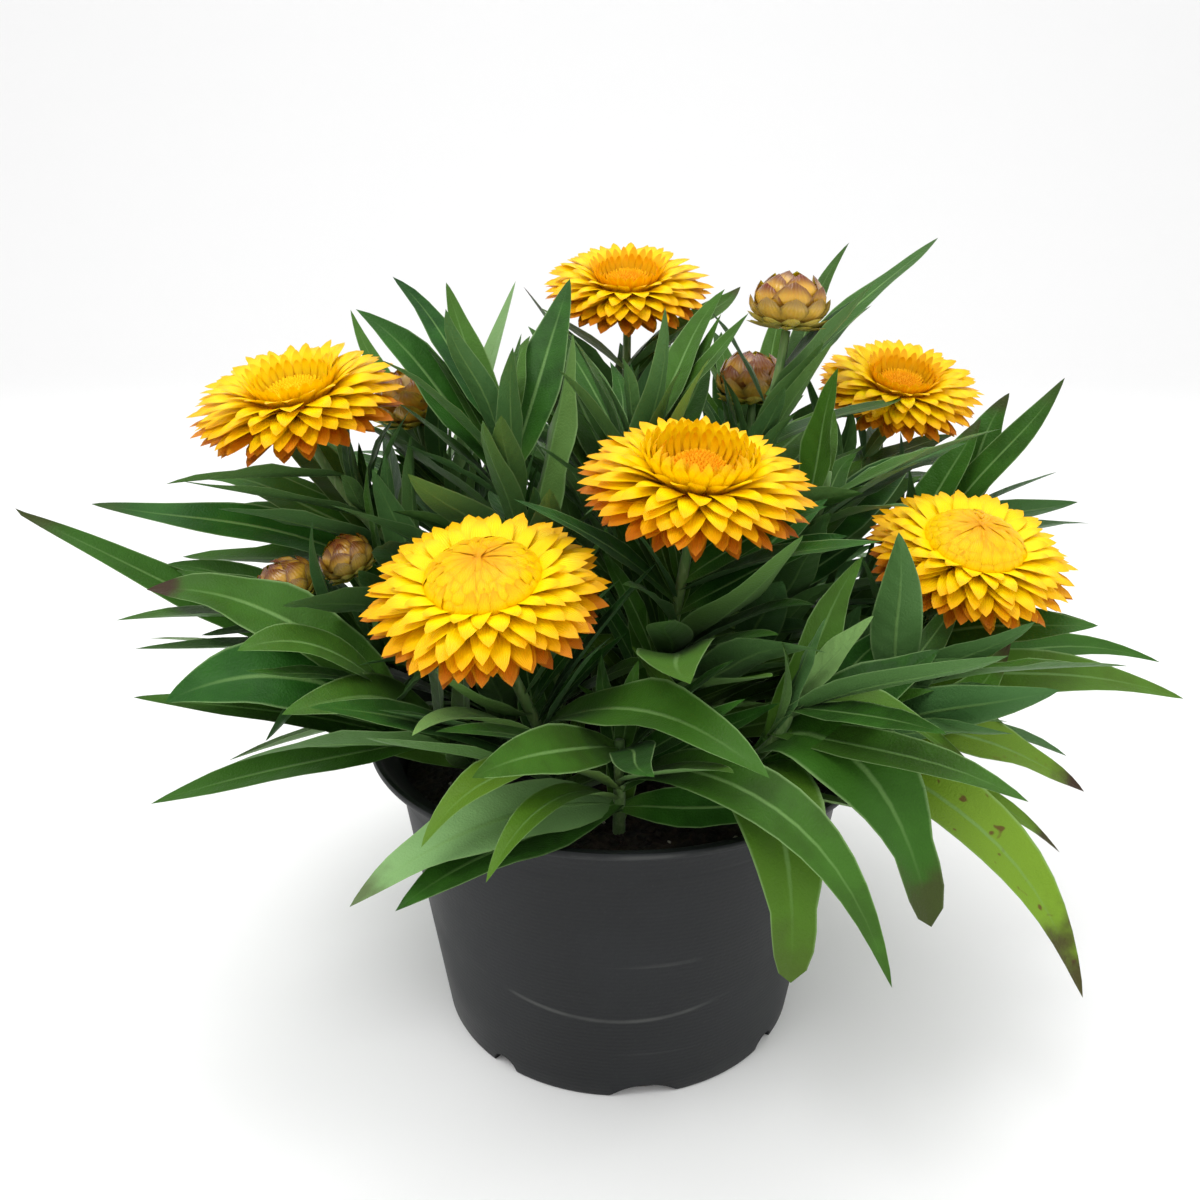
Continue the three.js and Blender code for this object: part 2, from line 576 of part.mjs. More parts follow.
// One closed body of bract rows, each row turned half a bract from the one below it
function bractBody(rows, count, breadth, thickness, bottom, top) {
  const sector = 2 * Math.PI / count;
  const positions = [];
  const faces = [];
  const add = (radius, height, angle, aside = 0) => {
    positions.push(radius * Math.cos(angle) - aside * Math.sin(angle));
    positions.push(radius * Math.sin(angle) + aside * Math.cos(angle), height);
    return positions.length / 3 - 1;
  };
  const ringOf = ([radius, height], turn) => {
    const ring = [];
    for (let i = 0; i < count; i += 1) ring.push(add(radius, height, (i + turn) * sector));
    return ring;
  };
  const after = (i) => (i + 1) % count;
  const bottomPoint = add(0, bottom, 0);
  let below = null;
  rows.forEach((row, rowNumber) => {
    const turn = rowNumber / 2;
    const feet = ringOf(row.foot, turn);
    const heels = ringOf(row.heel, turn);
    const half = breadth * row.mid[0] * Math.tan(sector / 2);
    for (let i = 0; i < count; i += 1) {
      const angle = (i + turn + 0.5) * sector;
      const left = add(row.mid[0], row.mid[1], angle, -half);
      const right = add(row.mid[0], row.mid[1], angle, half);
      const tip = add(row.tip[0], row.tip[1], angle);
      const slope = Math.atan2(row.tip[1] - row.heel[1], row.tip[0] - row.heel[0]);
      const keelRadius = row.mid[0] + thickness * Math.sin(slope);
      const keel = add(keelRadius, row.mid[1] - thickness * Math.cos(slope), angle);
      const [foot, nextFoot, heel, nextHeel] = [feet[i], feet[after(i)], heels[i], heels[after(i)]];
      faces.push(heel, left, right, left, tip, right, heel, right, nextHeel);
      faces.push(foot, nextFoot, keel, nextFoot, right, keel, right, tip, keel);
      faces.push(tip, left, keel, left, foot, keel);
      faces.push(heel, foot, left, nextHeel, right, nextFoot);
      if (below) faces.push(below[i], below[after(i)], foot, foot, below[after(i)], nextFoot);
      else faces.push(bottomPoint, nextFoot, foot);
    }
    below = heels;
  });
  const topPoint = add(0, top, 0);
  below.forEach((heel, i) => faces.push(heel, below[after(i)], topPoint));
  const geometry = new THREE.BufferGeometry();
  geometry.setAttribute("position", new THREE.Float32BufferAttribute(positions, 3));
  geometry.setIndex(faces);
  return toSolid(geometry);
}

// The disc: a low dome whose florets are relief, every other point of it standing proud
function discGeometry({ radius, height }) {
  const base = DISC_FLOOR + GAP;
  const rim = base + DISC_RIM;
  const profile = [[0, base], [radius - DISC_RIM, base]];
  for (let ring = DISC_RINGS; ring >= 0; ring -= 1) {
    const share = ring / DISC_RINGS;
    profile.push([radius * share, mix(height, rim, share * share)]);
  }
  const disc = lathe(profile, DISC_SIDES);
  const places = disc.attributes.position;
  for (let i = 0; i < places.count; i += 1) {
    const [x, y, z] = [places.getX(i), places.getY(i), places.getZ(i)];
    const reach = Math.hypot(x, y);
    if (z <= base || reach < radius / DISC_RINGS / 2) continue;
    const place = Math.round(Math.atan2(y, x) / (2 * Math.PI) * DISC_SIDES);
    const ring = Math.round(reach / radius * DISC_RINGS);
    places.setZ(i, z + ((place + ring) % 2 === 0 ? FLORET_RISE : FLORET_DIP));
  }
  return disc;
}

// Places a head's or bud's solid: sized, turned to its facing and moved to its middle
function settle(solid, plan, fullWidth) {
  const turn = new THREE.Quaternion().setFromUnitVectors(UP, facing(plan));
  const scale = plan.wide / fullWidth;
  const place = new THREE.Matrix4().compose(plan.at, turn, point(scale, scale, scale));
  return solid.transform(place.elements);
}

// A bud: an egg of pointed bracts, which stand out more as it opens
function budSolid({ open, wide }) {
  const flare = BUD_FLARE * open;
  const rows = [
    { foot: [0.3, -0.49], heel: [0.29, -0.39], mid: [0.5, -0.14], tip: [0.52 + flare, 0.12] },
    { foot: [0.26, -0.32], heel: [0.27, -0.24], mid: [0.43, 0.03], tip: [0.38 + 1.6 * flare, 0.32] },
    { foot: [0.24, -0.14], heel: [0.2, -0.04], mid: [0.3, 0.23], tip: [0.13 + 1.4 * flare, 0.46] },
  ];
  const body = bractBody(rows, BUD_BRACTS, BUD_BREADTH, BRACT_THICKNESS / wide, BUD_FOOT, BUD_TOP);
  return body.scale([1, 1, BUD_FLATTENING]);
}

// The whole plant
const strawflower = new THREE.Group();

function show(name, solid, look) {
  const mesh = new THREE.Mesh(toGeometry(solid), look);
  mesh.name = name;
  strawflower.add(mesh);
}

const pot = potSolid();
const soil = soilSolid(STEMS);
show("pot", pot, POT_PLASTIC);
show("soil", soil, PEAT);
remember("pot", pot);
remember("soil", soil);

for (const plan of HEADS) {
  const rows = [...UPPER_ROWS, ...INNER_ROWS[plan.middle]];
  const bracts = [BRACTS, BRACT_BREADTH, BRACT_THICKNESS];
  const parts = [
    ["lower_bracts", bractBody(LOWER_ROWS, ...bracts, -HEAD_DEPTH, LOWER_ROWS_TOP), ORANGE],
    ["upper_bracts", bractBody(rows, ...bracts, UPPER_ROWS_FOOT, DISC_FLOOR), YELLOW],
    ["disc", toSolid(discGeometry(DISCS[plan.middle])), DISC_ORANGE],
  ];
  for (const [part, solid, look] of parts) {
    const settled = settle(solid, plan, HEAD_DIAMETER);
    show(`flower_${plan.name}_${part}`, settled, look);
    remember(`flower_${plan.name}`, settled);
  }
}

for (const plan of BUDS) {
  const settled = settle(budSolid(plan), plan, 1);
  show(`bud_${plan.name}`, settled, plan.name === "k" ? BUD_RED : BUD_BROWN);
  remember(`bud_${plan.name}`, settled);
}

for (const stem of STEMS) {
  const solid = toSolid(tube(stem.curve, STEM_RADIUS, STEM_SIDES, STEM_STEPS));
  stem.solids = [solid];
  remember(stem.name, solid);
}

for (const line of CHOSEN_LEAVES) placeLeaf(chosenLeaf(line), () => true);

const visibleLength = (stem) => stem.reach - ROOT_DEPTH;
const leafCount = (stem) => Math.round(visibleLength(stem) / LEAF_SPACING);
const mostLeaves = Math.max(...STEMS.map(leafCount));
for (let order = 0; order < mostLeaves; order += 1) {
  STEMS.forEach((stem, stemNumber) => {
    const count = leafCount(stem);
    if (order < count) placeLeaf(ruledLeaf(stem, stemNumber, order, count), staysInMound);
  });
}

for (const stem of STEMS) {
  show(`leafy_stem_${stem.name}`, toSolid(toGeometry(fuse(stem.solids)), SLIVER), GREEN);
}

export default strawflower;
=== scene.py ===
import math
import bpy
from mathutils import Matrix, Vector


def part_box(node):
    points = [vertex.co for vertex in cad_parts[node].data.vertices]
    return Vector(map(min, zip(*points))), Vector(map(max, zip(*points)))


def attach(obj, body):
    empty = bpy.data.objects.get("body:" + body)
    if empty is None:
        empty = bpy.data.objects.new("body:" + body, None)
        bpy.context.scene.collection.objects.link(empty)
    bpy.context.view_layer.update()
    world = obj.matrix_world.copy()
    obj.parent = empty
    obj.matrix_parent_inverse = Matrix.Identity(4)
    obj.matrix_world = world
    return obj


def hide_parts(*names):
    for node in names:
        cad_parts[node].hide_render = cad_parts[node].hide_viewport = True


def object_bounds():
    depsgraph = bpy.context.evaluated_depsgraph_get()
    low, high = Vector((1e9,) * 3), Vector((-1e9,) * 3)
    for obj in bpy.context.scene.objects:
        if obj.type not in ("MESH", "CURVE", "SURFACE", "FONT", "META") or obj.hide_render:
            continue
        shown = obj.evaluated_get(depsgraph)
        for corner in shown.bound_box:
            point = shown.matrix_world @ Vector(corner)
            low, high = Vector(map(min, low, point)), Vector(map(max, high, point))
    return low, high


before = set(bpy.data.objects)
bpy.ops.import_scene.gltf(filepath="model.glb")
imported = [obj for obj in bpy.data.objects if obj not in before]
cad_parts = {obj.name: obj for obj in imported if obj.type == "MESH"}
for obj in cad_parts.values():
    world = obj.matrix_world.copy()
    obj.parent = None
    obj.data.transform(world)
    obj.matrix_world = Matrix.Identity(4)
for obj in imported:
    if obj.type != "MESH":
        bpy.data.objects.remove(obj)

from copy import copy
from functools import partial

import bmesh
import bpy
import numpy as np
from mathutils import Matrix, Quaternion, Vector, kdtree, noise
from mathutils.bvhtree import BVHTree

CAD_BOX = [list(corner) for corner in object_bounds()]

# A potted strawflower: a bushy bedding plant in a round nursery pot. Places are those of the
# CAD model, in millimetres in the tables below and in metres once they are vectors.
MM = 0.001
UP = Vector((0, 0, 1))
GOLDEN_ANGLE = math.pi * (3 - math.sqrt(5))
WORD = 0xFFFFFFFF

# Sizes of the pot
POT_HEIGHT = 105
LIP_RADIUS = 85
BASE_RADIUS = 62.5
COLLAR_TOP_RADIUS = 77
COLLAR_STEP = 0.6
COLLAR_HEIGHT = 10
FLARE_HEIGHT = 5.5
COLLAR_TOP = POT_HEIGHT - FLARE_HEIGHT
COLLAR_FOOT = COLLAR_TOP - COLLAR_HEIGHT
LIP_HEIGHT = 2.6
LIP_ROUNDING = 1.5
LIP_WIDTH = 3
POT_WALL = 1.5
FLOOR = 2
BASE_ROUNDING = 1.3
POT_STEPS = 144
SHARP_EDGE = math.radians(34)
NOTCH_COUNT = 8
NOTCH_TURN = 8
WIDE_NOTCH = 23
NARROW_NOTCH = 10
NOTCH_HEIGHT = 5
NOTCH_DEPTH = 16

# Sizes of the soil
SOIL_TOP = 91
SOIL_CROWN = 3
CROWN_RADIUS = 70
SOIL_STEPS = 150
SOIL_RINGS = 46
CRUMBS = 420
GRAINS = 46
ROOT_DEPTH = 20

# Sizes and rules of the stems and leaves, as the CAD model has them
STEM_RADIUS = 1.9
STEM_STEPS = 3
STEM_LEAN = 0.25
STEM_KNEE = 0.45
STEM_BEND = 0.25
ARC_DIVISIONS = 200
GAP = 0.3
LEAF_LENGTH = (108, 66)
LENGTH_PLAY = (0.85, 1.12)
INWARD_LENGTH = 0.8
LEAF_BREADTH = (0.17, 0.24)
LEAF_SPACING = 20.5
LEAF_HEIGHTS = (0.1, 0.9)
LEAF_ROLL = (-25, 25)
LEAF_TWIST = (-20, 20)
LEAF_SPREAD = (66, 30)
SPREAD_PLAY = 8
LEAF_ARCH = (0.1, 0.5)
LEAF_DROOP = (0.25, 0.05)
RULED_PLACES = (0.3, 0.4)
SHORTENING_EFFORT = 90
TIP_TOLERANCE = 0.2

# What only this script gives the stems and leaves
STEM_SIDES = 8
STEM_RINGS = 24
STEM_TAPER = (1.15, 0.8)
LEAF_FORM = {
    "wave": (0.01, 0.07),
    "waves": (1.4, 3.2),
    "phase": (0, 2 * math.pi),
    "fold": (0.14, 0.34),
    "curl": (-0.12, 0.24),
    "sway": (-0.05, 0.05),
}
OLD_LEAF_YELLOW = 0.15
# How pale downy leaves are painted: partly their hairs, partly painted light as on a lit face
DOWNY_AND_LIT_LOOK = 1.5

# In-between leaves, smaller than those of the CAD model, that close the bush
BETWEEN_PER_LEAF = 10
BETWEEN_HEIGHTS = (0.04, 0.97)
BETWEEN_LENGTHS = (0.6, 1.1)
BETWEEN_SPREADS = (0.5, 1.0)
BETWEEN_BENDS = 24

# The mound that the leaves keep within
MOUND_HEIGHT = 274
MOUND_RADIUS = 225
REACH_LIMIT = 165
SKIRT_HEIGHT = 100
SKIRT_RISE = 0.55

# Sizes of the flower heads and buds
HEAD_DIAMETER = 70
HEAD_DEPTH = 7
BUD_DEPTH = 0.46
BUD_FLATTENING = 0.88

# Where the draws of each kind of piece start, so that they come out the same each time
STEM_SEEDS = 1000
CHOSEN_FORM_SEEDS = 70001
RULED_FORM_SEEDS = 90001
BETWEEN_SEEDS = 500000
HEAD_SEEDS = 31001
BUD_SEEDS = 41001
PEAT_SEED = 5

# The flower heads: name, middle, width, tilt to the front and to the right, middle, root
HEADS = [
    ("a", (-105, 9, 214), 70, 16, -6, "disc", (-33, 2)),
    ("b", (2, 97, 244), 66, 20, 0, "disc", (0, 34)),
    ("c", (22, -34, 197), 70, 14, 4, "ring", (10, -13)),
    ("d", (-38, -54, 170), 70, 20, -4, "dome", (-14, -37)),
    ("e", (108, 86, 207), 64, 22, 4, "disc", (36, 28)),
    ("f", (110, -12, 169), 66, 20, 6, "dome", (41, -10)),
]

# The buds: name, middle, diameter, tilt to the front and to the right, how open, root
BUDS = [
    ("g", (56, 35, 244), 23, 0, 4, 0.3, (19, 13)),
    ("h", (49, 72, 214), 24, 4, -2, 0.1, (20, 38)),
    ("i", (-107, -18, 161), 19, 10, -32, 0, (-41, 20)),
    ("j", (-77, 60, 208), 25, 8, -8, 0.7, (-27, 24)),
    ("k", (102, 34, 134), 22, 20, 40, 0.4, (46, 10)),
    ("m", (-89, -9, 167), 16.5, 8, -25, 0, (-36, 30)),
]

# Leafy shoots with no flower: name, top, root
SHOOTS = [
    ("n", (-40, 12, 205), (-17, 0)),
    ("o", (6, 14, 205), (1, 10)),
    ("p", (68, 12, 190), (26, 2)),
    ("q", (132, 54, 172), (42, 34)),
    ("r", (0, -62, 128), (0, -45)),
    ("s", (48, -62, 140), (22, -32)),
    ("t", (-74, -42, 138), (-34, -20)),
    ("u", (-82, 98, 176), (-24, 42)),
    ("v", (-26, 128, 186), (-8, 50)),
    ("w", (64, 132, 186), (16, 54)),
    ("x", (88, -38, 138), (38, -22)),
    ("y", (104, 112, 162), (27, 43)),
]

# Leaves set one by one: the stem, how far up it, the tip's place, how far the middle stands
# above a straight line, breadth, roll, twist, how yellow, how dried at the tip, and 1 if downy,
# which paints the leaf paler, partly for its hairs and partly as painted light
CHOSEN_LEAVES = [
    ("i", 0.55, (-190, -16, 185), -8, 15, -35, 0, 0.1, 0.3),
    ("a", 0.5, (-162, -8, 200), 6, 16, -30, 0, 0.0, 0.2),
    ("t", 0.75, (-149, -34, 153), 10, 22, -25, 0, 0.15, 1.0),
    ("t", 0.62, (-128, -58, 150), 12, 26, -35, 0, 0.0, 0.0),
    ("t", 0.4, (-143, -52, 138), 2, 14, -20, 0, 0.15, 0.0),
    ("t", 0.25, (-95, -80, 133), 12, 20, -30, 0, 0.2, 0.0),
    ("i", 0.7, (-143, -6, 172), 4, 15, -30, 0, 0.1, 0.0),
    ("a", 0.62, (-146, 28, 183), 4, 14, -30, 0, 0.1, 0.0),
    ("a", 0.55, (-136, 42, 192), 6, 15, -25, 0, 0.2, 0.0),
    ("t", 0.9, (-104, -70, 158), 8, 16, -25, 0, 0.2, 0.0),
    ("r", 0.35, (-68, -112, 108), 8, 22, -30, 30, 0.05, 0.3, 1),
    ("r", 0.5, (-50, -108, 122), 14, 17, 0, 0, 0.5, 0.0),
    ("r", 0.4, (-32, -110, 124), 12, 11, 0, 0, 0.4, 0.0),
    ("d", 0.3, (-54, -88, 142), 8, 13, 0, 0, 0.4, 0.0, 1),
    ("r", 0.55, (66, -124, 93), 26, 19, 15, 0, 0.15, 0.0),
    ("s", 0.4, (46, -112, 100), 26, 26, 0, 0, 0.35, 0.2),
    ("s", 0.6, (83, -98, 92), 26, 27, 25, 0, 0.1, 0.3),
    ("x", 0.4, (127, -98, 70), 20, 22, 10, 10, 1.0, 0.4),
    ("s", 0.75, (94, -80, 108), 16, 17, 0, 0, 0.3, 0.7),
    ("x", 0.6, (145, -40, 101), 8, 16, 30, 0, 0.75, 0.9),
    ("x", 0.35, (139, -46, 84), 8, 11, 20, 0, 0.7, 0.4),
    ("x", 0.8, (122, -30, 142), -14, 15, 20, 40, 0.2, 0.4),
    ("f", 0.45, (185, -14, 122), 5, 17, 35, 0, 0.35, 0.0),
    ("k", 0.7, (184, 18, 156), 2, 14, 30, 0, 0.1, 0.0),
    ("f", 0.6, (148, -24, 150), 4, 18, 30, 0, 0.1, 0.0),
    ("q", 0.75, (154, 46, 217), 0, 15, 35, 0, 0.1, 0.2),
    ("q", 0.85, (148, 62, 205), 0, 16, 30, 0, 0.1, 0.3),
    ("q", 0.65, (146, 58, 190), 2, 16, 30, 0, 0.1, 0.3),
    ("x", 0.9, (77, -50, 187), -2, 15, 15, 0, 0.1, 0.0, 1),
    ("p", 0.8, (77, 12, 222), 0, 16, 20, 0, 0.2, 0.0),
    ("g", 0.75, (82, 78, 262), -2, 10, 0, 0, 0.15, 0.0),
    ("g", 0.85, (120, 80, 250), 2, 13, 0, 0, 0.1, 0.1),
    ("h", 0.85, (94, 84, 238), 2, 12, 0, 0, 0.1, 0.1),
    ("b", 0.8, (36, 110, 257), 4, 12, 0, 40, 0.2, 0.3),
    ("h", 0.75, (64, 98, 254), 0, 11, 0, 0, 0.2, 0.0),
    ("o", 0.8, (14, 4, 243), -4, 14, 0, 10, 0.1, 0.0),
    ("n", 0.85, (-19, 52, 250), -2, 19, 0, 0, 0.05, 0.0),
    ("b", 0.7, (-29, 86, 250), 0, 13, 0, 0, 0.1, 0.9),
    ("j", 0.75, (-41, 72, 248), 0, 13, 0, 0, 0.1, 0.1, 1),
    ("n", 0.75, (-61, 48, 248), 2, 14, 0, 0, 0.2, 0.1),
    ("j", 0.6, (-99, 92, 244), 2, 12, 0, 0, 0.2, 0.0),
    ("n", 0.6, (-36, 6, 236), -2, 18, 10, 0, 0.3, 0.0, 1),
    ("o", 0.7, (31, 28, 240), 0, 13, 0, 0, 0.15, 0.0),
    ("o", 0.6, (26, -2, 229), 2, 14, 10, 0, 0.6, 0.0),
    ("d", 0.42, (37, -104, 141), 11, 22, 15, 0, 0.15, 0.0),
    ("c", 0.5, (48, -68, 190), -4, 21, 0, 0, 0.3, 0.0, 1),
    ("c", 0.45, (14, -76, 172), 0, 13, 0, 10, 0.2, 0.0),
    ("s", 0.9, (68, -66, 168), 0, 15, 20, 0, 0.3, 0.0, 1),
    ("s", 0.7, (86, -52, 160), -2, 22, 25, 0, 0.05, 0.0),
    ("c", 0.3, (38, -92, 160), 2, 11, 0, 0, 0.3, 0.0),
    ("d", 0.5, (-52, -84, 143), -4, 12, 0, 0, 0.35, 0.0),
]

# The tips of the leaves that are broken off short
TORN_TIPS = [(46, -112, 100), (83, -98, 92)]


def mix(low, high, share):
    return low + (high - low) * share


def point(spot):
    """A place in millimetres, as a vector in metres."""
    return Vector(spot) * MM


def seeded_draws(seed):
    """Draws between 0 and 1, the same every time and the same as the CAD model's."""
    state = seed & WORD

    def draw():
        nonlocal state
        state = (state + 0x6D2B79F5) & WORD
        mixed = ((state ^ (state >> 15)) * (state | 1)) & WORD
        mixed ^= (mixed + (mixed ^ (mixed >> 7)) * (mixed | 61)) & WORD
        return ((mixed ^ (mixed >> 14)) & WORD) / (WORD + 1)

    return draw


# Materials

def srgb(code):
    """A colour as a picture program writes it, such as #3f6b35, turned to linear light."""
    channels = [int(code[i:i + 2], 16) / 255 for i in (1, 3, 5)]
    linear = [c / 12.92 if c <= 0.04045 else ((c + 0.055) / 1.055) ** 2.4 for c in channels]
    return (*linear, 1)


def set_inputs(tree, node, inputs):
    """Sets a node's inputs, each to a value, a colour such as #3f6b35 or what another node gives."""
    for name, value in inputs.items():
        if isinstance(value, bpy.types.Node):
            value = value.outputs[0]
        if isinstance(value, bpy.types.NodeSocket):
            tree.links.new(value, node.inputs[name])
        else:
            node.inputs[name].default_value = srgb(value) if isinstance(value, str) else value


def add(tree, kind, inputs=(), **settings):
    """Adds a shader node with its settings, and its inputs by name or in the node's own order."""
    node = tree.nodes.new("ShaderNode" + kind)
    for name, value in settings.items():
        setattr(node, name, value)
    set_inputs(tree, node, inputs if isinstance(inputs, dict) else dict(enumerate(inputs)))
    return node


def surface(name, finish):
    """A material of one Principled shader, whose inputs a finish gives."""
    material = bpy.data.materials.new(name)
    material.use_nodes = True
    tree = material.node_tree
    set_inputs(tree, tree.nodes["Principled BSDF"], finish(partial(add, tree)))
    return material


def share_of(node, *parts):
    """How much of a coat shows: its parts multiplied. A part is a pattern, or a pattern carried
    smoothly from 0 at one value to a strength at another, as (pattern, start, end, strength)."""
    share = None
    for part in parts:
        if isinstance(part, tuple):
            pattern, start, end, *strength = part
            steps = (pattern, start, end, 0.0, *strength)
            part = node("MapRange", steps, interpolation_type="SMOOTHSTEP")
        share = part if share is None else node("Math", (share, part), operation="MULTIPLY")
    return share


def painted(node, skin, *coats):
    """A skin with coats of colour over it. Each is its colour and then the parts of its share."""
    for colour, *parts in coats:
        mixed = {0: share_of(node, *parts), 6: skin, 7: colour}
        skin = node("Mix", mixed, data_type="RGBA").outputs[2]
    return skin


def swings(node, run, count):
    """A pattern that swings up and down count times for each 1 of what it runs along."""
    return node("Math", (node("Math", (run, 2 * math.pi * count), operation="MULTIPLY"),), operation="SINE")


def relief(node, depth, *patterns, strength=1.0):
    """Relief as deep as depth in millimetres, from patterns, each with its weight."""
    height = 0
    for pattern, weight in patterns:
        height = node("Math", (pattern, weight, height), operation="MULTIPLY_ADD")
    return node("Bump", {"Strength": strength, "Distance": depth * MM, "Height": height})


def blade_parts(node):
    """How far along and across its blade a point is and how far off the rib, whether it is on the
    upper face, and the blade's look. A leaf's look is how yellow, how dried and how pale it is. A
    bract's is its row, its chance of a deeper colour and its flush."""
    place = node("SeparateColor", (node("Attribute", attribute_name="blade"),))
    look = node("SeparateColor", (node("Attribute", attribute_name="look"),))
    along, across, upper = place.outputs
    off_rib = node("Math", (node("Math", (across, 2, -1), operation="MULTIPLY_ADD"),), operation="ABSOLUTE")
    return along, across, off_rib, upper, *look.outputs


def leaf_green(node):
    """A living leaf, woolly: soft green above, greyer below, with a pale rib and margin. Downy leaves are
    paler, partly from their hairs and partly painted light, as on a lit face.
    """
    along, _, off_rib, upper, yellow, dried, chance = blade_parts(node)
    spots = node("TexCoord").outputs["Object"]
    mottle = node("TexNoise", {"Vector": spots, "Scale": 90, "Detail": 4})
    specks = node("TexNoise", {"Vector": spots, "Scale": 260, "Detail": 1})
    down = node("TexNoise", {"Vector": spots, "Scale": 1400, "Detail": 2})
    top = painted(
        node, "#10390c",
        ("#215212", (chance, 0, 1)),
        ("#2a5e18", (mottle, 0.35, 0.7, 0.7)),
        ("#4d7c2e", (along, 0.25, 0.0)),
        # Downy leaves: a paler green, partly their hairs and partly painted light, as on a lit face
        ("#7ba267", (chance, 1.0, DOWNY_AND_LIT_LOOK)),
        ("#6f9124", yellow),
        ("#5e4d1c", (specks, 0.66, 0.74), (yellow, 0.6, 1.0)),
    )
    below = painted(node, "#466f3c", ("#7c9a3e", yellow))
    rib = share_of(node, (off_rib, 0.1, 0.02), (along, 1.0, 0.5, 0.7))
    # The dry end starts unevenly
    wander = node("Math", (mottle, 0.3, along), operation="MULTIPLY_ADD")
    skin = painted(
        node, below,
        (top, (upper, 0.45, 0.55)),
        ("#749a56", rib),
        ("#8fae72", (off_rib, 0.9, 1.0, 0.5)),
        ("#3a2a1c", (wander, 0.98, 1.1), (dried, 0.0, 0.5)),
    )
    slant = node("Math", (off_rib, -0.1, along), operation="MULTIPLY_ADD")
    return {
        "Base Color": skin,
        "Normal": relief(node, 0.35, (down, 0.6), (swings(node, slant, 9), 0.12), (rib, 0.6)),
        "Roughness": 0.46,
        "IOR": 1.42,
        "Specular IOR Level": 0.2,
        "Sheen Weight": 0.03,
        "Sheen Roughness": 0.5,
    }


def stem_green(node):
    """A ribbed, downy stem: paler and more yellow than the leaves."""
    spots = node("TexCoord").outputs["Object"]
    streaks = node("Mapping", {"Vector": spots, "Scale": (1, 1, 0.12)})
    ribs = node("TexNoise", {"Vector": streaks, "Scale": 900, "Detail": 2})
    shade = node("TexNoise", {"Vector": spots, "Scale": 60, "Detail": 2})
    skin = painted(
        node, "#55803f",
        ("#7b9a52", (shade, 0.3, 0.7)),
        ("#a3b882", (ribs, 0.5, 0.75, 0.5)),
    )
    return {"Base Color": skin, "Normal": relief(node, 0.3, (ribs, 1)), "Roughness": 0.6, "Sheen Weight": 0.2}


def papery(foot, middle, tip, low_foot, low_tip, edge=0.1, roughness=0.42, gloss=0.2):
    """Papery bracts with a satin gloss: fine lengthways streaks, and darker, browner outer rows."""

    def finish(node):
        along, across, off_rib, _, row, chance, flush = blade_parts(node)
        streaks = swings(node, across, 8)
        upper_rows = painted(
            node, foot,
            (middle, (along, 0.0, 0.45)),
            (tip, (along, 0.65, 0.95)),
            (tip, (off_rib, 0.6, 1.0, edge)),
            (tip, flush),
        )
        outer_rows = painted(node, low_foot, (low_tip, (along, 0.45, 1.0)))
        skin = painted(
            node, outer_rows,
            (upper_rows, row),
            (low_foot, chance, 0.1),
            (low_foot, (streaks, 0.2, 1.0, 0.08)),
        )
        return {
            "Base Color": skin,
            "Normal": relief(node, 0.05, (streaks, 1), strength=0.6),
            "Roughness": roughness,
            "IOR": 1.45,
            "Specular IOR Level": gloss,
            "Subsurface Weight": 0.25,
            "Subsurface Radius": (1.0, 0.75, 0.05),
            "Subsurface Scale": 2 * MM,
        }

    return finish


def floret_orange(node):
    """Tiny tubular florets, matt: orange, and brighter towards the rim, where they are open."""
    _, _, _, _, reach, chance, young = blade_parts(node)
    skin = painted(
        node, "#e8960a",
        ("#f5ae08", (reach, 0.3, 0.8)),
        ("#ffcc20", (chance, 0.6, 1.0, 0.5)),
        ("#f6d210", young),
    )
    spots = node("TexCoord").outputs["Object"]
    grain = node("TexNoise", {"Vector": spots, "Scale": 2500, "Detail": 1})
    bump = relief(node, 0.2, (grain, 1))
    return {"Base Color": skin, "Normal": bump, "Roughness": 0.75, "Specular IOR Level": 0.1}


def pot_black(node):
    """Recycled polypropylene, moulded: charcoal, satin, with rubbed scratches and pale dust."""
    spots = node("TexCoord").outputs["Object"]
    x, y, z = node("SeparateXYZ", (spots,)).outputs
    cloud = node("TexNoise", {"Vector": spots, "Scale": 28, "Detail": 5})
    grain = node("TexNoise", {"Vector": spots, "Scale": 900, "Detail": 3})
    patches = node("TexNoise", {"Vector": spots, "Scale": 45})
    # Long rubbing marks run round the wall and climb a little, and dust gathers in them
    turned_spots = node("Mapping", {"Vector": spots, "Rotation": (0.12, 0.05, 0), "Scale": (5, 5, 260)})
    marks = node("TexNoise", {"Vector": turned_spots, "Scale": 1.0, "Detail": 3})
    # One long scratch lies in an arc across the front, and fades in and out
    across = node("Math", (x, x), operation="MULTIPLY")
    arc = node("Math", (across, 4.0, 0.034), operation="MULTIPLY_ADD")
    off_arc = node("Math", (node("Math", (z, arc), operation="SUBTRACT"),), operation="ABSOLUTE")
    front = node("Math", (y, 0.0), operation="LESS_THAN")
    skin = painted(
        node, "#131517",
        ("#1c1e20", (cloud, 0.35, 0.7)),
        ("#292b2c", (grain, 0.55, 0.8, 0.25)),
        ("#6e6f6b", (marks, 0.64, 0.78), (cloud, 0.45, 0.6, 0.25)),
        ("#8e8f8a", (off_arc, 0.0012, 0.0001, 0.16), (x, -0.05, -0.03), (x, 0.04, 0.02), front,
         (patches, 0.3, 0.6)),
    )
    return {
        "Base Color": skin,
        "Normal": relief(node, 0.12, (grain, 0.5), (swings(node, z, 1 / (1.6 * MM)), 0.05)),
        "Roughness": node("MapRange", (cloud, 0.3, 0.7, 0.42, 0.56), interpolation_type="SMOOTHSTEP"),
        "IOR": 1.49,
        "Specular IOR Level": 0.26,
    }


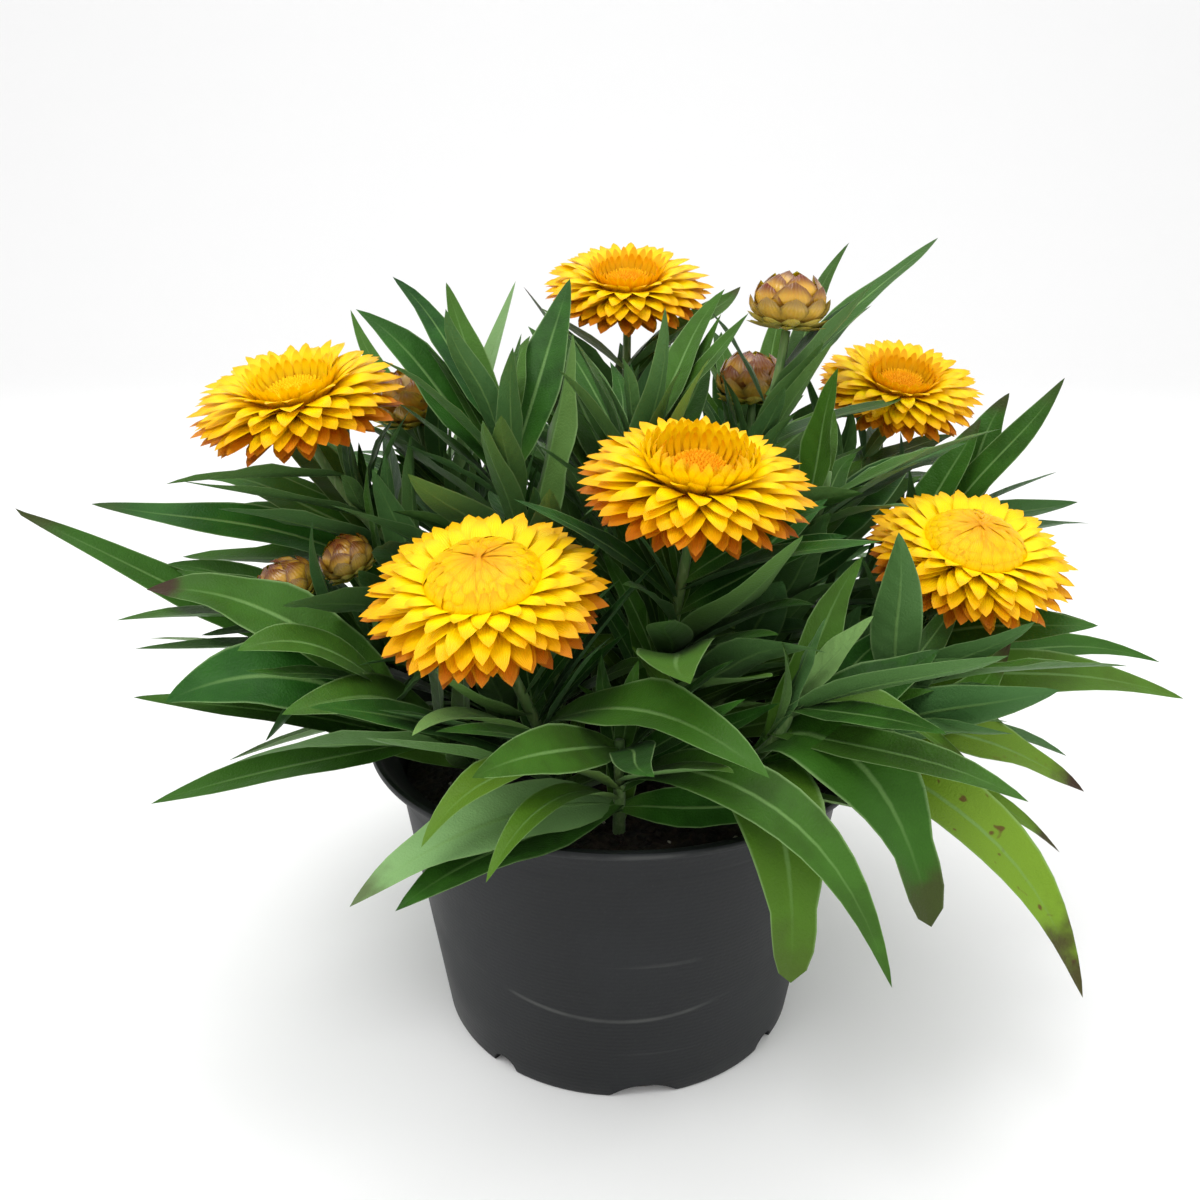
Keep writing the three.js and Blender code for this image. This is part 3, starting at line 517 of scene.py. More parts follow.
def peat_dark(node):
    """Damp peat: near black crumbs, with browner fibres between them."""
    spots = node("TexCoord").outputs["Object"]
    crumbs = node("TexVoronoi", {"Vector": spots, "Scale": 380})
    fibre = node("TexNoise", {"Vector": spots, "Scale": 260, "Detail": 6})
    skin = painted(
        node, "#15110e",
        ("#33281f", (fibre, 0.35, 0.7)),
        ("#4a3a2c", (crumbs, 0.5, 0.9, 0.4)),
    )
    return {"Base Color": skin, "Normal": relief(node, 1.2, (crumbs, 1), (fibre, 1)), "Roughness": 0.9}


def perlite_white(node):
    """Grains of perlite and sand in the peat: chalky and pale."""
    spots = node("TexCoord").outputs["Object"]
    shade = node("TexNoise", {"Vector": spots, "Scale": 500, "Detail": 2})
    skin = painted(node, "#8a8278", ("#d6d0c4", shade))
    return {"Base Color": skin, "Normal": relief(node, 0.3, (shade, 1)), "Roughness": 0.9}


def card_white(node):
    """Matt white card, which shows the plant's soft shadow and nothing else."""
    return {"Base Color": "#f4f4f4", "Roughness": 0.9, "Specular IOR Level": 0.1}


LEAF_GREEN = surface("living leaf, woolly", leaf_green)
STEM_GREEN = surface("living stem, downy", stem_green)
YELLOW_BRACTS = surface(
    "yellow bracts, papery", papery("#fdc400", "#ffdb00", "#fab806", "#f6b000", "#ee9806", edge=0.12))
ORANGE_BRACTS = surface(
    "orange bracts, papery", papery("#fab802", "#fab004", "#f2930a", "#e88a08", "#ad4f18"))
BROWN_BRACTS = surface(
    "bud bracts, papery brown",
    papery("#f6d458", "#eeb43c", "#661408", "#b4b060", "#c8b058", edge=0.8, roughness=0.22, gloss=0.5))
RED_BRACTS = surface(
    "bud bracts, papery red",
    papery("#8a3b2c", "#6e2320", "#3f1215", "#6d2a22", "#35100f", edge=0.3, roughness=0.3, gloss=0.4))
FLORETS = surface("disc florets, matt", floret_orange)
POT_PLASTIC = surface("polypropylene, moulded charcoal", pot_black)
PEAT = surface("peat, damp", peat_dark)
PERLITE = surface("perlite grains", perlite_white)


# Meshes

# How much closer together a blade's crosswise edges are towards its tip
TIP_CROWDING = 1.3


def finished(name, bm):
    """Ends the work on a mesh and names it."""
    mesh = bpy.data.meshes.new(name)
    bm.to_mesh(mesh)
    bm.free()
    return mesh


def set_down(name, data):
    """Puts a mesh, lamp or camera into the scene, at the origin."""
    made = bpy.data.objects.new(name, data)
    bpy.context.scene.collection.objects.link(made)
    return made


def blade_template(name, lengthwise, crosswise):
    """A closed flat blade: x runs from 0 at its root to 1 at its tip, y from -1 to 1 across it,
    and z is 1 on its upper face, -1 on its lower face and 0 round its rim, a sharp edge."""
    bm = bmesh.new()
    bmesh.ops.create_grid(bm, x_segments=lengthwise, y_segments=crosswise, size=1)
    for vert in bm.verts:
        vert.co.z = 0 if vert.is_boundary else 1
    below = bmesh.ops.duplicate(bm, geom=bm.faces[:])["geom"]
    bmesh.ops.reverse_faces(bm, faces=[item for item in below if isinstance(item, bmesh.types.BMFace)])
    for item in below:
        if isinstance(item, bmesh.types.BMVert):
            item.co.z *= -1
    for vert in bm.verts:
        vert.co.x = 1 - ((1 - vert.co.x) / 2) ** TIP_CROWDING
        if vert.co.x > 0.999:
            vert.co.y = 0
    # This closes the rim, and draws the tip together to a point
    bmesh.ops.remove_doubles(bm, verts=bm.verts, dist=1e-4)
    for edge in bm.edges:
        edge.smooth = not all(abs(vert.co.z) < 0.5 for vert in edge.verts)
    mesh = finished(name, bm)
    places = np.array([vert.co for vert in mesh.vertices])
    return mesh, places


LARGE_BLADE = blade_template("large blade", 16, 6)
SMALL_BLADE = blade_template("small blade", 10, 4)
BRACT_BLADE = blade_template("bract blade", 6, 4)
TEST_BLADE = blade_template("test blade", 5, 2)
TEST_FACES = [tuple(face.vertices) for face in TEST_BLADE[0].polygons]


def unit(vectors):
    """The same directions, each 1 long."""
    return vectors / np.linalg.norm(vectors, axis=-1, keepdims=True)


def leaf_outline(along):
    """A leaf's breadth along its length: a long point, and a base that clasps the stem."""
    full = np.sin(math.pi * along ** 0.86) ** 0.8
    tapered = 6.75 * along * (1 - along) ** 2
    return np.maximum(0.9 * full + 0.1 * tapered, 0.24 * (1 - along))


def torn_outline(along):
    """The breadth of a leaf whose end is broken off short."""
    rounding = np.sqrt(np.clip(1 - (np.clip(along - 0.88, 0, 1) / 0.12) ** 2, 0, 1))
    return leaf_outline(np.minimum(along, 0.84)) * rounding


def bract_outline(along):
    """A bract's breadth along its length: a narrow foot, near parallel sides and a short point."""
    return np.clip(0.5 + 1.2 * along, 0, 1) * np.clip(1 - along ** 4, 0, 1) ** 0.8


def bud_outline(along):
    """The breadth of a bud's bract: broad all along, with a blunt point."""
    return np.clip(0.7 + 1.2 * along, 0, 1) * np.clip(1 - along ** 3, 0, 1) ** 0.55


class Blade:
    """A leaf or bract: a curve of three points, a side direction, a breadth and its form."""

    def __init__(self, root, knee, tip, side, wide, roll=0, twist=0):
        self.root, self.knee, self.tip = root, knee, tip
        self.side, self.wide = side, wide
        self.roll, self.twist = roll, twist
        self.fold, self.wave, self.waves, self.phase, self.sway = 0.22, 0, 0, 0, 0
        self.thick, self.curl, self.outline = 0.8 * MM, 0, leaf_outline
        self.look = (0, 0, 0)

    def points(self, places):
        """The template's places carried onto the blade."""
        along, across, layer = places[:, 0:1], places[:, 1:2], places[:, 2:3]
        root, knee, tip = np.array(self.root), np.array(self.knee), np.array(self.tip)
        # The rib's curve, and the way across it, which rolls and twists about the curve
        middle = (1 - along) ** 2 * root + 2 * along * (1 - along) * knee + along ** 2 * tip
        tangent = unit(2 * (1 - along) * (knee - root) + 2 * along * (tip - knee))
        side = np.array(self.side)
        side = unit(side - tangent * (tangent @ side)[:, None])
        turn = np.radians(self.roll + self.twist * along)
        side = side * np.cos(turn) + np.cross(tangent, side) * np.sin(turn)
        normal = np.cross(tangent, side)
        # Across, the blade folds up to its margins and ripples there. Along, it curls and sways.
        half = self.wide / 2 * self.outline(along)
        reach = np.abs(across)
        phase = self.phase + np.where(across > 0, 2.1, 0)
        ripple = self.wave * np.sin(2 * math.pi * self.waves * along + phase) * np.sin(math.pi * along)
        lift = self.fold * half * reach ** 1.4 + self.wide * ripple * reach ** 2
        length = np.linalg.norm(tip - root)
        lift = lift - self.curl * length * np.clip(along - 0.6, 0, 1) ** 2
        middle = middle + side * self.sway * length * np.sin(2 * math.pi * along) * along
        # It thins towards its margins and its tip, and its rib stands out below
        body = self.thick / 2 * (1 - 0.45 * reach) * np.clip(3 * (1 - along), 0.2, 1)
        rib = np.where((layer < -0.5) & (reach < 0.1), 0.35 * self.thick * (1 - along), 0)
        return middle + side * across * half + normal * (lift + layer * body - rib)


def added_points(bm, mesh):
    """Adds a finished mesh to another, and gives back its points there."""
    start = len(bm.verts)
    bm.from_mesh(mesh)
    bm.verts.ensure_lookup_table()
    return bm.verts[start:]


def add_blade(bm, template, blade, placing=None):
    """Adds one blade to a mesh, with the place and the look that its material reads."""
    mesh, places = template
    verts = added_points(bm, mesh)
    spots = blade.points(places)
    if placing is not None:
        spots = spots @ np.array(placing.to_3x3()).T + np.array(placing.translation)
    spots = np.clip(spots, *CAD_BOX)
    blade_layer = bm.verts.layers.float_color["blade"]
    look_layer = bm.verts.layers.float_color["look"]
    for vert, spot, place in zip(verts, spots, places):
        vert.co = spot
        vert[blade_layer] = (place[0], (place[1] + 1) / 2, (place[2] + 1) / 2, 1)
        vert[look_layer] = (*blade.look, 1)


def new_mesh():
    """An empty mesh whose points can hold their place on a blade and its look."""
    bm = bmesh.new()
    bm.verts.layers.float_color.new("blade")
    bm.verts.layers.float_color.new("look")
    return bm


def spun(profile, steps):
    """A closed body turned about the Z axis from a profile of (radius, height) in millimetres."""
    bm = bmesh.new()
    verts = [bm.verts.new(point((radius, 0, height))) for radius, height in profile]
    edges = [bm.edges.new(pair) for pair in zip(verts, verts[1:])]
    bmesh.ops.spin(bm, geom=verts + edges, cent=(0, 0, 0), axis=(0, 0, 1), angle=2 * math.pi,
                   steps=steps, use_merge=True)
    bmesh.ops.remove_doubles(bm, verts=bm.verts, dist=1e-6)
    bmesh.ops.recalc_face_normals(bm, faces=bm.faces)
    return finished("spun body", bm)


def add_body(bm, mesh, placing, look):
    """Adds a finished body to a mesh, with one look all over."""
    verts = added_points(bm, mesh)
    look_layer = bm.verts.layers.float_color["look"]
    for vert in verts:
        vert.co = placing @ vert.co
        vert[look_layer] = (*look, 1)


def piece(name, bm, materials, replaces):
    """Turns a mesh into a finished piece that rides with the part and stands for a CAD node."""
    mesh = finished(name, bm)
    for material in materials:
        mesh.materials.append(material)
    mesh.polygons.foreach_set("use_smooth", [True] * len(mesh.polygons))
    made = set_down(name, mesh)
    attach(made, "root")
    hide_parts(replaces)
    return made


# The plant's skeleton, which the CAD model shares

def facing(front, right):
    """The way a head or bud faces, tilted from upright by degrees to the front and right."""
    return Vector((math.tan(math.radians(right)), -math.tan(math.radians(front)), 1)).normalized()


class Stem:
    """A stem's curve, from its foot in the soil to the underside of what it carries."""

    def __init__(self, name, at, axis, root, under):
        self.name = name
        self.top = point(at) - axis * under * MM
        self.foot = point((*root, SOIL_TOP - ROOT_DEPTH))
        self.reach = (self.top - self.foot).length
        rise = Vector((root[0] * STEM_LEAN * MM, root[1] * STEM_LEAN * MM, self.reach)).normalized()
        self.knee = self.foot + rise * self.reach * STEM_KNEE
        self.bend = self.top - axis * self.reach * STEM_BEND
        self.joints = self.spaced_points(STEM_STEPS)
        self.visible = self.reach - ROOT_DEPTH * MM

    def at(self, share):
        """The place a share of the way along the curve."""
        back = 1 - share
        return (self.foot * back ** 3 + self.knee * 3 * back * back * share
                + self.bend * 3 * back * share * share + self.top * share ** 3)

    def spaced_points(self, steps):
        """Points at even distances along the curve, measured along short straight chords."""
        spots = [self.at(i / ARC_DIVISIONS) for i in range(ARC_DIVISIONS + 1)]
        lengths = [0]
        for one, other in zip(spots, spots[1:]):
            lengths.append(lengths[-1] + (other - one).length)
        points = []
        for step in range(steps + 1):
            goal = lengths[-1] * step / steps
            index = max(i for i, length in enumerate(lengths[:-1]) if length <= goal)
            rest = (goal - lengths[index]) / (lengths[index + 1] - lengths[index])
            points.append(self.at((index + rest) / ARC_DIVISIONS))
        return points

    def frame_at(self, height):
        """The middle of the stem and its direction, from 0 at the soil to 1 at its top."""
        steps = mix(ROOT_DEPTH * MM / self.reach, 1, height) * STEM_STEPS
        step = min(int(steps), STEM_STEPS - 1)
        start, end = self.joints[step], self.joints[step + 1]
        return start.lerp(end, steps - step), (end - start).normalized()


def turned(vector, axis, angle):
    """A vector turned about an axis."""
    return Quaternion(axis, angle) @ vector


def turn_to(way):
    """The turn that takes upright to a direction."""
    return UP.rotation_difference(way).to_matrix().to_4x4()


def chosen_leaf(stem, height, tip, arch, wide, roll, twist, yellow, dried, downy=0):
    """A leaf whose tip's place is known. Its breadth lies level, across the way to the tip."""
    root, way = stem.frame_at(height)
    tip = point(tip)
    level = tip - root
    level.z = 0
    side = -level.normalized().cross(UP)
    knee = (root + tip) / 2 + UP * 2 * arch * MM
    leaf = Blade(root, knee, tip, side, wide * MM, roll, twist)
    leaf.way, leaf.look = way, (yellow, dried, downy)
    return leaf


def ruled_leaf(stem, height, draw, turn, length_share=1.0, spread_share=1.0):
    """A leaf by the rule of the plant: long and spreading at a stem's foot, upright at its top."""
    root, way = stem.frame_at(height)
    roll = mix(*LEAF_ROLL, draw())
    twist = mix(*LEAF_TWIST, draw())
    outward = Vector((root.x, root.y, 0)).normalized()
    first = (outward - way * outward.dot(way)).normalized()
    around = turned(first, way, turn + 2 * math.pi * draw())
    outwards = around.dot(first)
    play = mix(-SPREAD_PLAY, SPREAD_PLAY, draw())
    spread = math.radians(mix(*LEAF_SPREAD, height) * spread_share + play + SPREAD_PLAY * outwards)
    length = mix(*LEAF_LENGTH, height) * mix(*LENGTH_PLAY, draw()) * mix(INWARD_LENGTH, 1, outwards)
    length *= MM * length_share
    start = way * math.cos(spread) + around * math.sin(spread)
    end = (start + around * mix(*LEAF_ARCH, draw()) - UP * mix(*LEAF_DROOP, height)).normalized()
    knee = root + start * length / 2
    leaf = Blade(root, knee, knee + end * length / 2, way.cross(around).normalized(),
                 length * mix(*LEAF_BREADTH, draw()), roll, twist)
    leaf.way = way
    return leaf


# The ways a leaf may be bent to pass clear of its neighbours, the smallest bends first
BENDS = [(size, lift, turn)
         for size in (1, 0.86, 0.72, 0.58)
         for lift in (0, 9, -9, 18, -18, 27)
         for turn in (0, 11, -11, 22, -22, 33, -33)]
BENDS.sort(key=lambda bend: abs(bend[1]) + abs(bend[2]) + (1 - bend[0]) * SHORTENING_EFFORT)


def bent(leaf, size, lift, turn):
    """A copy of a leaf, shortened, and bent about its own side and about its stem."""

    def move(spot):
        arm = turned((spot - leaf.root) * size, leaf.side, -math.radians(lift))
        return leaf.root + turned(arm, leaf.way, math.radians(turn))

    made = copy(leaf)
    made.knee, made.tip = move(leaf.knee), move(leaf.tip)
    made.side = turned(leaf.side, leaf.way, math.radians(turn))
    made.wide = leaf.wide * math.sqrt(size)
    return made


def as_built(leaf, corners):
    """The bend of a leaf whose tip is a corner of the CAD model's stem, or None if it has none."""
    nearest = None
    for bend in BENDS:
        made = bent(leaf, *bend)
        gap = corners.find(made.tip)[2]
        if gap < TIP_TOLERANCE * MM and (nearest is None or gap < nearest[0]):
            nearest = (gap, made)
    return nearest[1] if nearest else None


def give_form(leaf, draw):
    """Gives a leaf its own waves, fold, curl and sway, and its own shade of green."""
    for name, span in LEAF_FORM.items():
        setattr(leaf, name, mix(*span, draw()))
    yellow, dried, downy = leaf.look
    # A downy leaf takes the paler downy look: partly its hairs, partly painted light
    leaf.look = (yellow, dried, DOWNY_AND_LIT_LOOK if downy else draw())


def aged_look(draw, most, height, old_below):
    """The look of a leaf that is yellowed a little by chance, and more if it is old, low down."""
    return (mix(0.0, most, draw()) + (OLD_LEAF_YELLOW if height < old_below else 0), 0, 0)


STEMS = []
for name, at, _, front, right, _, root in HEADS:
    STEMS.append(Stem(name, at, facing(front, right), root, HEAD_DEPTH + GAP))
for name, at, wide, front, right, _, root in BUDS:
    STEMS.append(Stem(name, at, facing(front, right), root, wide * BUD_DEPTH + GAP))
for name, at, root in SHOOTS:
    STEMS.append(Stem(name, at, UP, root, 0))


# The share of a leaf, at its root, that may touch other leaves of its own stem
ROOT_SHARE = 0.25


class Clearing:
    """What is placed already, for testing that an in-between leaf passes clear of it."""

    def __init__(self):
        self.owners, self.trees = [], []
        self.lows, self.highs = np.zeros((0, 3)), np.zeros((0, 3))

    def add(self, owner, tree, low, high):
        self.owners.append(owner)
        self.trees.append(tree)
        self.lows = np.vstack([self.lows, low])
        self.highs = np.vstack([self.highs, high])

    def add_node(self, name):
        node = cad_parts[name]
        spots = [vert.co for vert in node.data.vertices]
        tree = BVHTree.FromPolygons(spots, [tuple(face.vertices) for face in node.data.polygons])
        self.add(name, tree, *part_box(name))

    def shape_of(self, leaf, start=0.0):
        """A leaf's plain shape beyond a share of its length, and its box."""
        places = TEST_BLADE[1].copy()
        places[:, 0] = start + places[:, 0] * (1 - start)
        spots = leaf.points(places)
        tree = BVHTree.FromPolygons(spots.tolist(), TEST_FACES)
        return tree, spots.min(axis=0), spots.max(axis=0)

    def is_clear(self, owner, leaf):
        """Whether a leaf touches nothing, apart from what its own stem carries near its root."""
        whole, low, high = self.shape_of(leaf)
        outer = None
        near = ((self.lows < high) & (self.highs > low)).all(axis=1)
        for index in np.flatnonzero(near):
            shape = whole
            if self.owners[index] == owner:
                outer = outer or self.shape_of(leaf, start=ROOT_SHARE)[0]
                shape = outer
            if shape.overlap(self.trees[index]):
                return False
        return True


clearing = Clearing()
for node_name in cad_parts:
    if not node_name.startswith("leafy_stem"):
        clearing.add_node(node_name)

leaves = {stem.name: [] for stem in STEMS}


def keep_leaf(stem, leaf, template):
    """Keeps a leaf for its stem, and closes its room to the leaves that come after it."""
    leaves[stem.name].append((leaf, template))
    clearing.add(stem.name, *clearing.shape_of(leaf))


def corners_of(stem):
    """The corners of a stem's CAD node, ready to be searched by place."""
    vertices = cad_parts["leafy_stem_" + stem.name].data.vertices
    corners = kdtree.KDTree(len(vertices))
    for index, vert in enumerate(vertices):
        corners.insert(vert.co, index)
    corners.balance()
    return corners


def keep_cad_leaves(number, stem):
    """Finds each leaf that the CAD model gave a stem, bent as it is there, and gives it form."""
    corners = corners_of(stem)
    for order, (name, *shape) in enumerate(CHOSEN_LEAVES):
        leaf = as_built(chosen_leaf(stem, *shape), corners) if name == stem.name else None
        if leaf:
            give_form(leaf, seeded_draws(CHOSEN_FORM_SEEDS + order))
            leaf.outline = torn_outline if shape[1] in TORN_TIPS else leaf_outline
            keep_leaf(stem, leaf, LARGE_BLADE)
    count = round(stem.visible / MM / LEAF_SPACING)
    start, play = RULED_PLACES
    for order in range(count):
        draw = seeded_draws(STEM_SEEDS * (number + 1) + order)
        height = mix(*LEAF_HEIGHTS, (order + start + play * draw()) / count)
        leaf = as_built(ruled_leaf(stem, height, draw, order * GOLDEN_ANGLE), corners)
        if leaf:
            form = seeded_draws(RULED_FORM_SEEDS + 100 * number + order)
            leaf.look = aged_look(form, 0.22, height, 0.3)
            give_form(leaf, form)
            keep_leaf(stem, leaf, SMALL_BLADE)


def stays_in_mound(leaf):
    """Whether a leaf's tip is under the plant's round top, above its skirt and in the CAD box."""
    reach = math.hypot(leaf.tip.x, leaf.tip.y) / MM
    if reach > REACH_LIMIT:
        return False
    roof = MOUND_HEIGHT * math.sqrt(1 - (reach / MOUND_RADIUS) ** 2)
    skirt = SKIRT_HEIGHT + SKIRT_RISE * max(0, reach - LIP_RADIUS)
    inside = all(low < place < high for low, place, high in zip(CAD_BOX[0], leaf.tip, CAD_BOX[1]))
    return inside and skirt < leaf.tip.z / MM < roof


# The photograph's viewpoint: a lens 0.27 m above the floor, looking 19 degrees down
CAMERA_AT = (0, -0.343, 0.2686)
CAMERA_DOWN = 19.25
CAMERA_LEFT = 1.14
LENS = 32.7
SENSOR = 36

# The blooms that the camera sees whole, which leaves out buds j and k, the stretches of the
# pot's lip that show, and the share of their radius that leaves keep clear of
OPEN_LIP = [((6, -84, 99), 24), ((-70, -46, 102), 14), ((76, -30, 102), 11)]
IN_VIEW = [(point(at), wide / 2 * MM) for _, at, wide, *_ in HEADS + BUDS[:3] + BUDS[5:]]
IN_VIEW += [(point(at), radius * MM) for at, radius in OPEN_LIP]
CLEAR_SHARE = 0.8


def hides_view(leaf):
    """Whether a leaf stands between the camera and a bloom or a stretch of lip that it sees."""
    spots = leaf.points(TEST_BLADE[1]) - np.array(CAMERA_AT)
    for middle, radius in IN_VIEW:
        sight = middle - Vector(CAMERA_AT)
        ahead = np.array(sight.normalized())
        depth = spots @ ahead
        aside = np.linalg.norm(spots - depth[:, None] * ahead, axis=1)
        if ((depth < sight.length) & (aside * sight.length / depth < radius * CLEAR_SHARE)).any():
            return True
    return False


def keep_between_leaves(number, stem):
    """Fills the gaps round a stem with leaves by the same rule, where a small bend clears them."""
    count = round(stem.visible / MM / LEAF_SPACING * BETWEEN_PER_LEAF)
    for order in range(count):
        draw = seeded_draws(BETWEEN_SEEDS + STEM_SEEDS * number + order)
        height = mix(*BETWEEN_HEIGHTS, (order + draw()) / count)
        length = mix(*BETWEEN_LENGTHS, draw())
        spread = mix(*BETWEEN_SPREADS, draw())
        plan = ruled_leaf(stem, height, draw, order * GOLDEN_ANGLE, length, spread)
        plan.look = aged_look(draw, 0.25, height, 0.2)
        give_form(plan, draw)
        for bend in BENDS[:BETWEEN_BENDS]:
            leaf = bent(plan, *bend)
            if stays_in_mound(leaf) and not hides_view(leaf) and clearing.is_clear(stem.name, leaf):
                keep_leaf(stem, leaf, SMALL_BLADE)
                break


# Every CAD leaf has its place before the first in-between leaf looks for one
for keep_leaves in (keep_cad_leaves, keep_between_leaves):
    for number, stem in enumerate(STEMS):
        keep_leaves(number, stem)


# Leafy stems

def swept_stem(stem):
    """A round stem swept along its curve, ring after ring, closed at both ends."""
    bm = bmesh.new()
    ring = None
    near = 0.02
    for i in range(STEM_RINGS + 1):
        share = i / STEM_RINGS
        way = (stem.at(min(share + near, 1)) - stem.at(max(share - near, 0))).normalized()
        placing = Matrix.Translation(stem.at(share)) @ turn_to(way)
        made = bmesh.ops.create_circle(bm, cap_ends=i in (0, STEM_RINGS), segments=STEM_SIDES,
                                       radius=STEM_RADIUS * MM * mix(*STEM_TAPER, share), matrix=placing)
        edges = list({edge for vert in made["verts"] for edge in vert.link_edges})
        if ring:
            bmesh.ops.bridge_loops(bm, edges=ring + edges)
        ring = edges
    bmesh.ops.recalc_face_normals(bm, faces=bm.faces)
    for face in bm.faces:
        face.material_index = 1
    return finished("swept stem", bm)


for stem in STEMS:
    bm = new_mesh()
    bm.from_mesh(swept_stem(stem))
    for leaf, template in leaves[stem.name]:
        add_blade(bm, template, leaf)
    piece("foliage_" + stem.name, bm, [LEAF_GREEN, STEM_GREEN], "leafy_stem_" + stem.name)


# Flower heads: rows of bracts on a head 70 mm across, from the lowest to the highest. Each is
# how many, the foot, the middle and the tip as (radius, height), the breadth, and how yellow.
LOWER_ROWS = [
    (16, (4, -7.2), (8, -7.4), (13, -7.8), 5.0, 0.1),
    (18, (7, -6.2), (21, -5.2), (32.4, -7.4), 7.6, 0.0),
    (20, (8.5, -4.8), (22.5, -3.6), (34.4, -5.0), 8.0, 0.2),
    (20, (9, -3.6), (23, -2.0), (35, -3.0), 8.0, 0.5),
]
UPPER_ROWS = [
    (20, (9.6, -2.5), (23, -0.7), (35, -1.2), 8.0, 0.4),
    (20, (10, -1.4), (22.5, 0.8), (34.6, 0.6), 8.0, 0.7),
    (20, (10.3, -0.6), (22, 2.3), (33.6, 2.5), 7.6, 0.95),
    (19, (10.5, 0.1), (21, 3.8), (32, 4.6), 7.4, 1.0),
    (18, (10.7, 0.6), (19.4, 5.1), (29, 6.6), 7.0, 1.0),
]
INNER_ROWS = {
    "disc": [
        (20, (10.7, 1.0), (16.4, 6.3), (23.4, 9.6), 5.4, 0.8),
        (24, (10.5, 1.3), (13.6, 6.6), (16.2, 10.4), 3.8, 0.15),
        (26, (10.3, 1.5), (12.2, 5.6), (12.6, 8.6), 2.8, 0.0),
    ],
    "ring": [
        (20, (10.8, 1.0), (17, 6.6), (23.4, 10.0), 5.0, 1.0),
        (22, (10.7, 1.1), (15.8, 7.4), (17.4, 11.8), 4.4, 1.0),
        (22, (10.5, 1.4), (15.0, 7.8), (14.6, 12.8), 4.0, 1.0),
        (24, (10.3, 1.8), (13.6, 7.8), (12.6, 12.2), 3.2, 0.8),
        (26, (9.8, 2.2), (12.0, 6.8), (11.2, 10.6), 2.4, 0.5),
    ],
    "dome": [
        (18, (10.8, 1.0), (18, 5.8), (25, 8.0), 5.8, 1.0),
        (26, (10.8, 1.2), (16.4, 5.0), (12.0, 9.9), 6.2, 0.65),
        (24, (10.6, 1.5), (15.2, 7.0), (8.0, 11.0), 6.2, 0.6),
        (20, (10.2, 2.0), (13.4, 8.6), (4.4, 11.6), 6.2, 0.5),
        (16, (9.4, 2.4), (11.0, 9.7), (1.4, 11.9), 5.6, 0.35),
        (10, (7.6, 3.0), (7.0, 10.4), (-1.6, 11.8), 3.8, 0.1),
    ],
}

# The body under the florets: the radius and height of each kind of middle, and all feet and rims
DISC_SHAPES = {"disc": (8.7, 4.6), "ring": (9.2, 8.6), "dome": (8.4, 8.0)}
DISC_FOOT = 2.3
DISC_RIM = 2.9
DISC_RINGS = 6
FLORET_COUNT = 210
FLORET_RADII = (0.34, 0.22)
FLORET_HEIGHTS = (0.7, 1.5)

# The head's body between the lowest bracts and the disc, which the bracts cover
RECEPTACLE = [(0, -7.1), (2.6, -7.1), (7, -6.2), (9.4, -3.6), (9.6, 0), (9.6, 1.4), (0, 1.4)]

# The head that opened last: how yellow its inner bracts and florets are at least, and the others'
YOUNG_HEAD = "a"
YOUNG_LOOK = 0.8
GROWN_LOOK = 0.1

# The thickness of bracts in millimetres, and how far their margins rise
BRACT_THICKNESS = 0.5
BRACT_CUP = 0.14


def spoke(angle):
    """The level direction at an angle about the upright axis."""
    return Vector((math.cos(angle), math.sin(angle), 0))


def bract_curve(out, foot, middle, tip, lift, middle_lift, grown=1):
    """The root, knee and tip of a bract that passes through three places of its row."""
    root = point(out * foot[0] + UP * foot[1])
    end = point(out * tip[0] * grown + UP * (tip[1] + lift))
    through = point(out * middle[0] + UP * (middle[1] + middle_lift))
    return root, through * 2 - (root + end) / 2, end


def add_row(bm, row, turn, placing, draw):
    """One row of bracts round the axis of a head, each a little unlike the next."""
    count, foot, middle, tip, wide, yellow = row
    for i in range(count):
        out = spoke((i + turn + mix(-0.16, 0.16, draw())) * 2 * math.pi / count)
        grown = mix(0.93, 1.03, draw())
        lift = mix(-0.7, 0.7, draw())
        bract = Blade(*bract_curve(out, foot, middle, tip, lift, lift * 0.4, grown), UP.cross(out),
                      wide * MM * mix(0.9, 1.12, draw()), mix(-8, 8, draw()), mix(-10, 10, draw()))
        bract.outline, bract.thick, bract.fold = bract_outline, BRACT_THICKNESS * MM, BRACT_CUP
        bract.wave, bract.waves = mix(0.0, 0.04, draw()), mix(0.8, 1.6, draw())
        bract.phase = 2 * math.pi * draw()
        bract.look = (yellow, draw(), 0)
        add_blade(bm, BRACT_BLADE, bract, placing)


def placed(at, axis, scale):
    """Carries what is modelled upright at the origin to its place, way and size."""
    return Matrix.Translation(point(at)) @ turn_to(axis) @ Matrix.Scale(scale, 4)


def make_head(name, at, wide, front, right, middle, seed):
    """A flower head, in three pieces: its outer rows, its inner rows and its florets."""
    placing = placed(at, facing(front, right), wide / HEAD_DIAMETER)
    draw = seeded_draws(seed)
    lower = new_mesh()
    add_body(lower, spun(RECEPTACLE, 24), placing, (0.3, 0.5, 0))
    for number, row in enumerate(LOWER_ROWS):
        add_row(lower, row, number / 2, placing, draw)
    node = "flower_" + name
    piece(node + "_outer_rows", lower, [ORANGE_BRACTS], node + "_lower_bracts")
    upper = new_mesh()
    young = YOUNG_LOOK if name == YOUNG_HEAD else GROWN_LOOK
    for number, (*row, yellow) in enumerate(UPPER_ROWS + INNER_ROWS[middle]):
        add_row(upper, (*row, max(yellow, young)), number / 2 + 0.3, placing, draw)
    piece(node + "_inner_rows", upper, [YELLOW_BRACTS], node + "_upper_bracts")
    florets = disc_mesh(middle, placing, draw, young)
    piece(node + "_florets", florets, [FLORETS], node + "_disc")


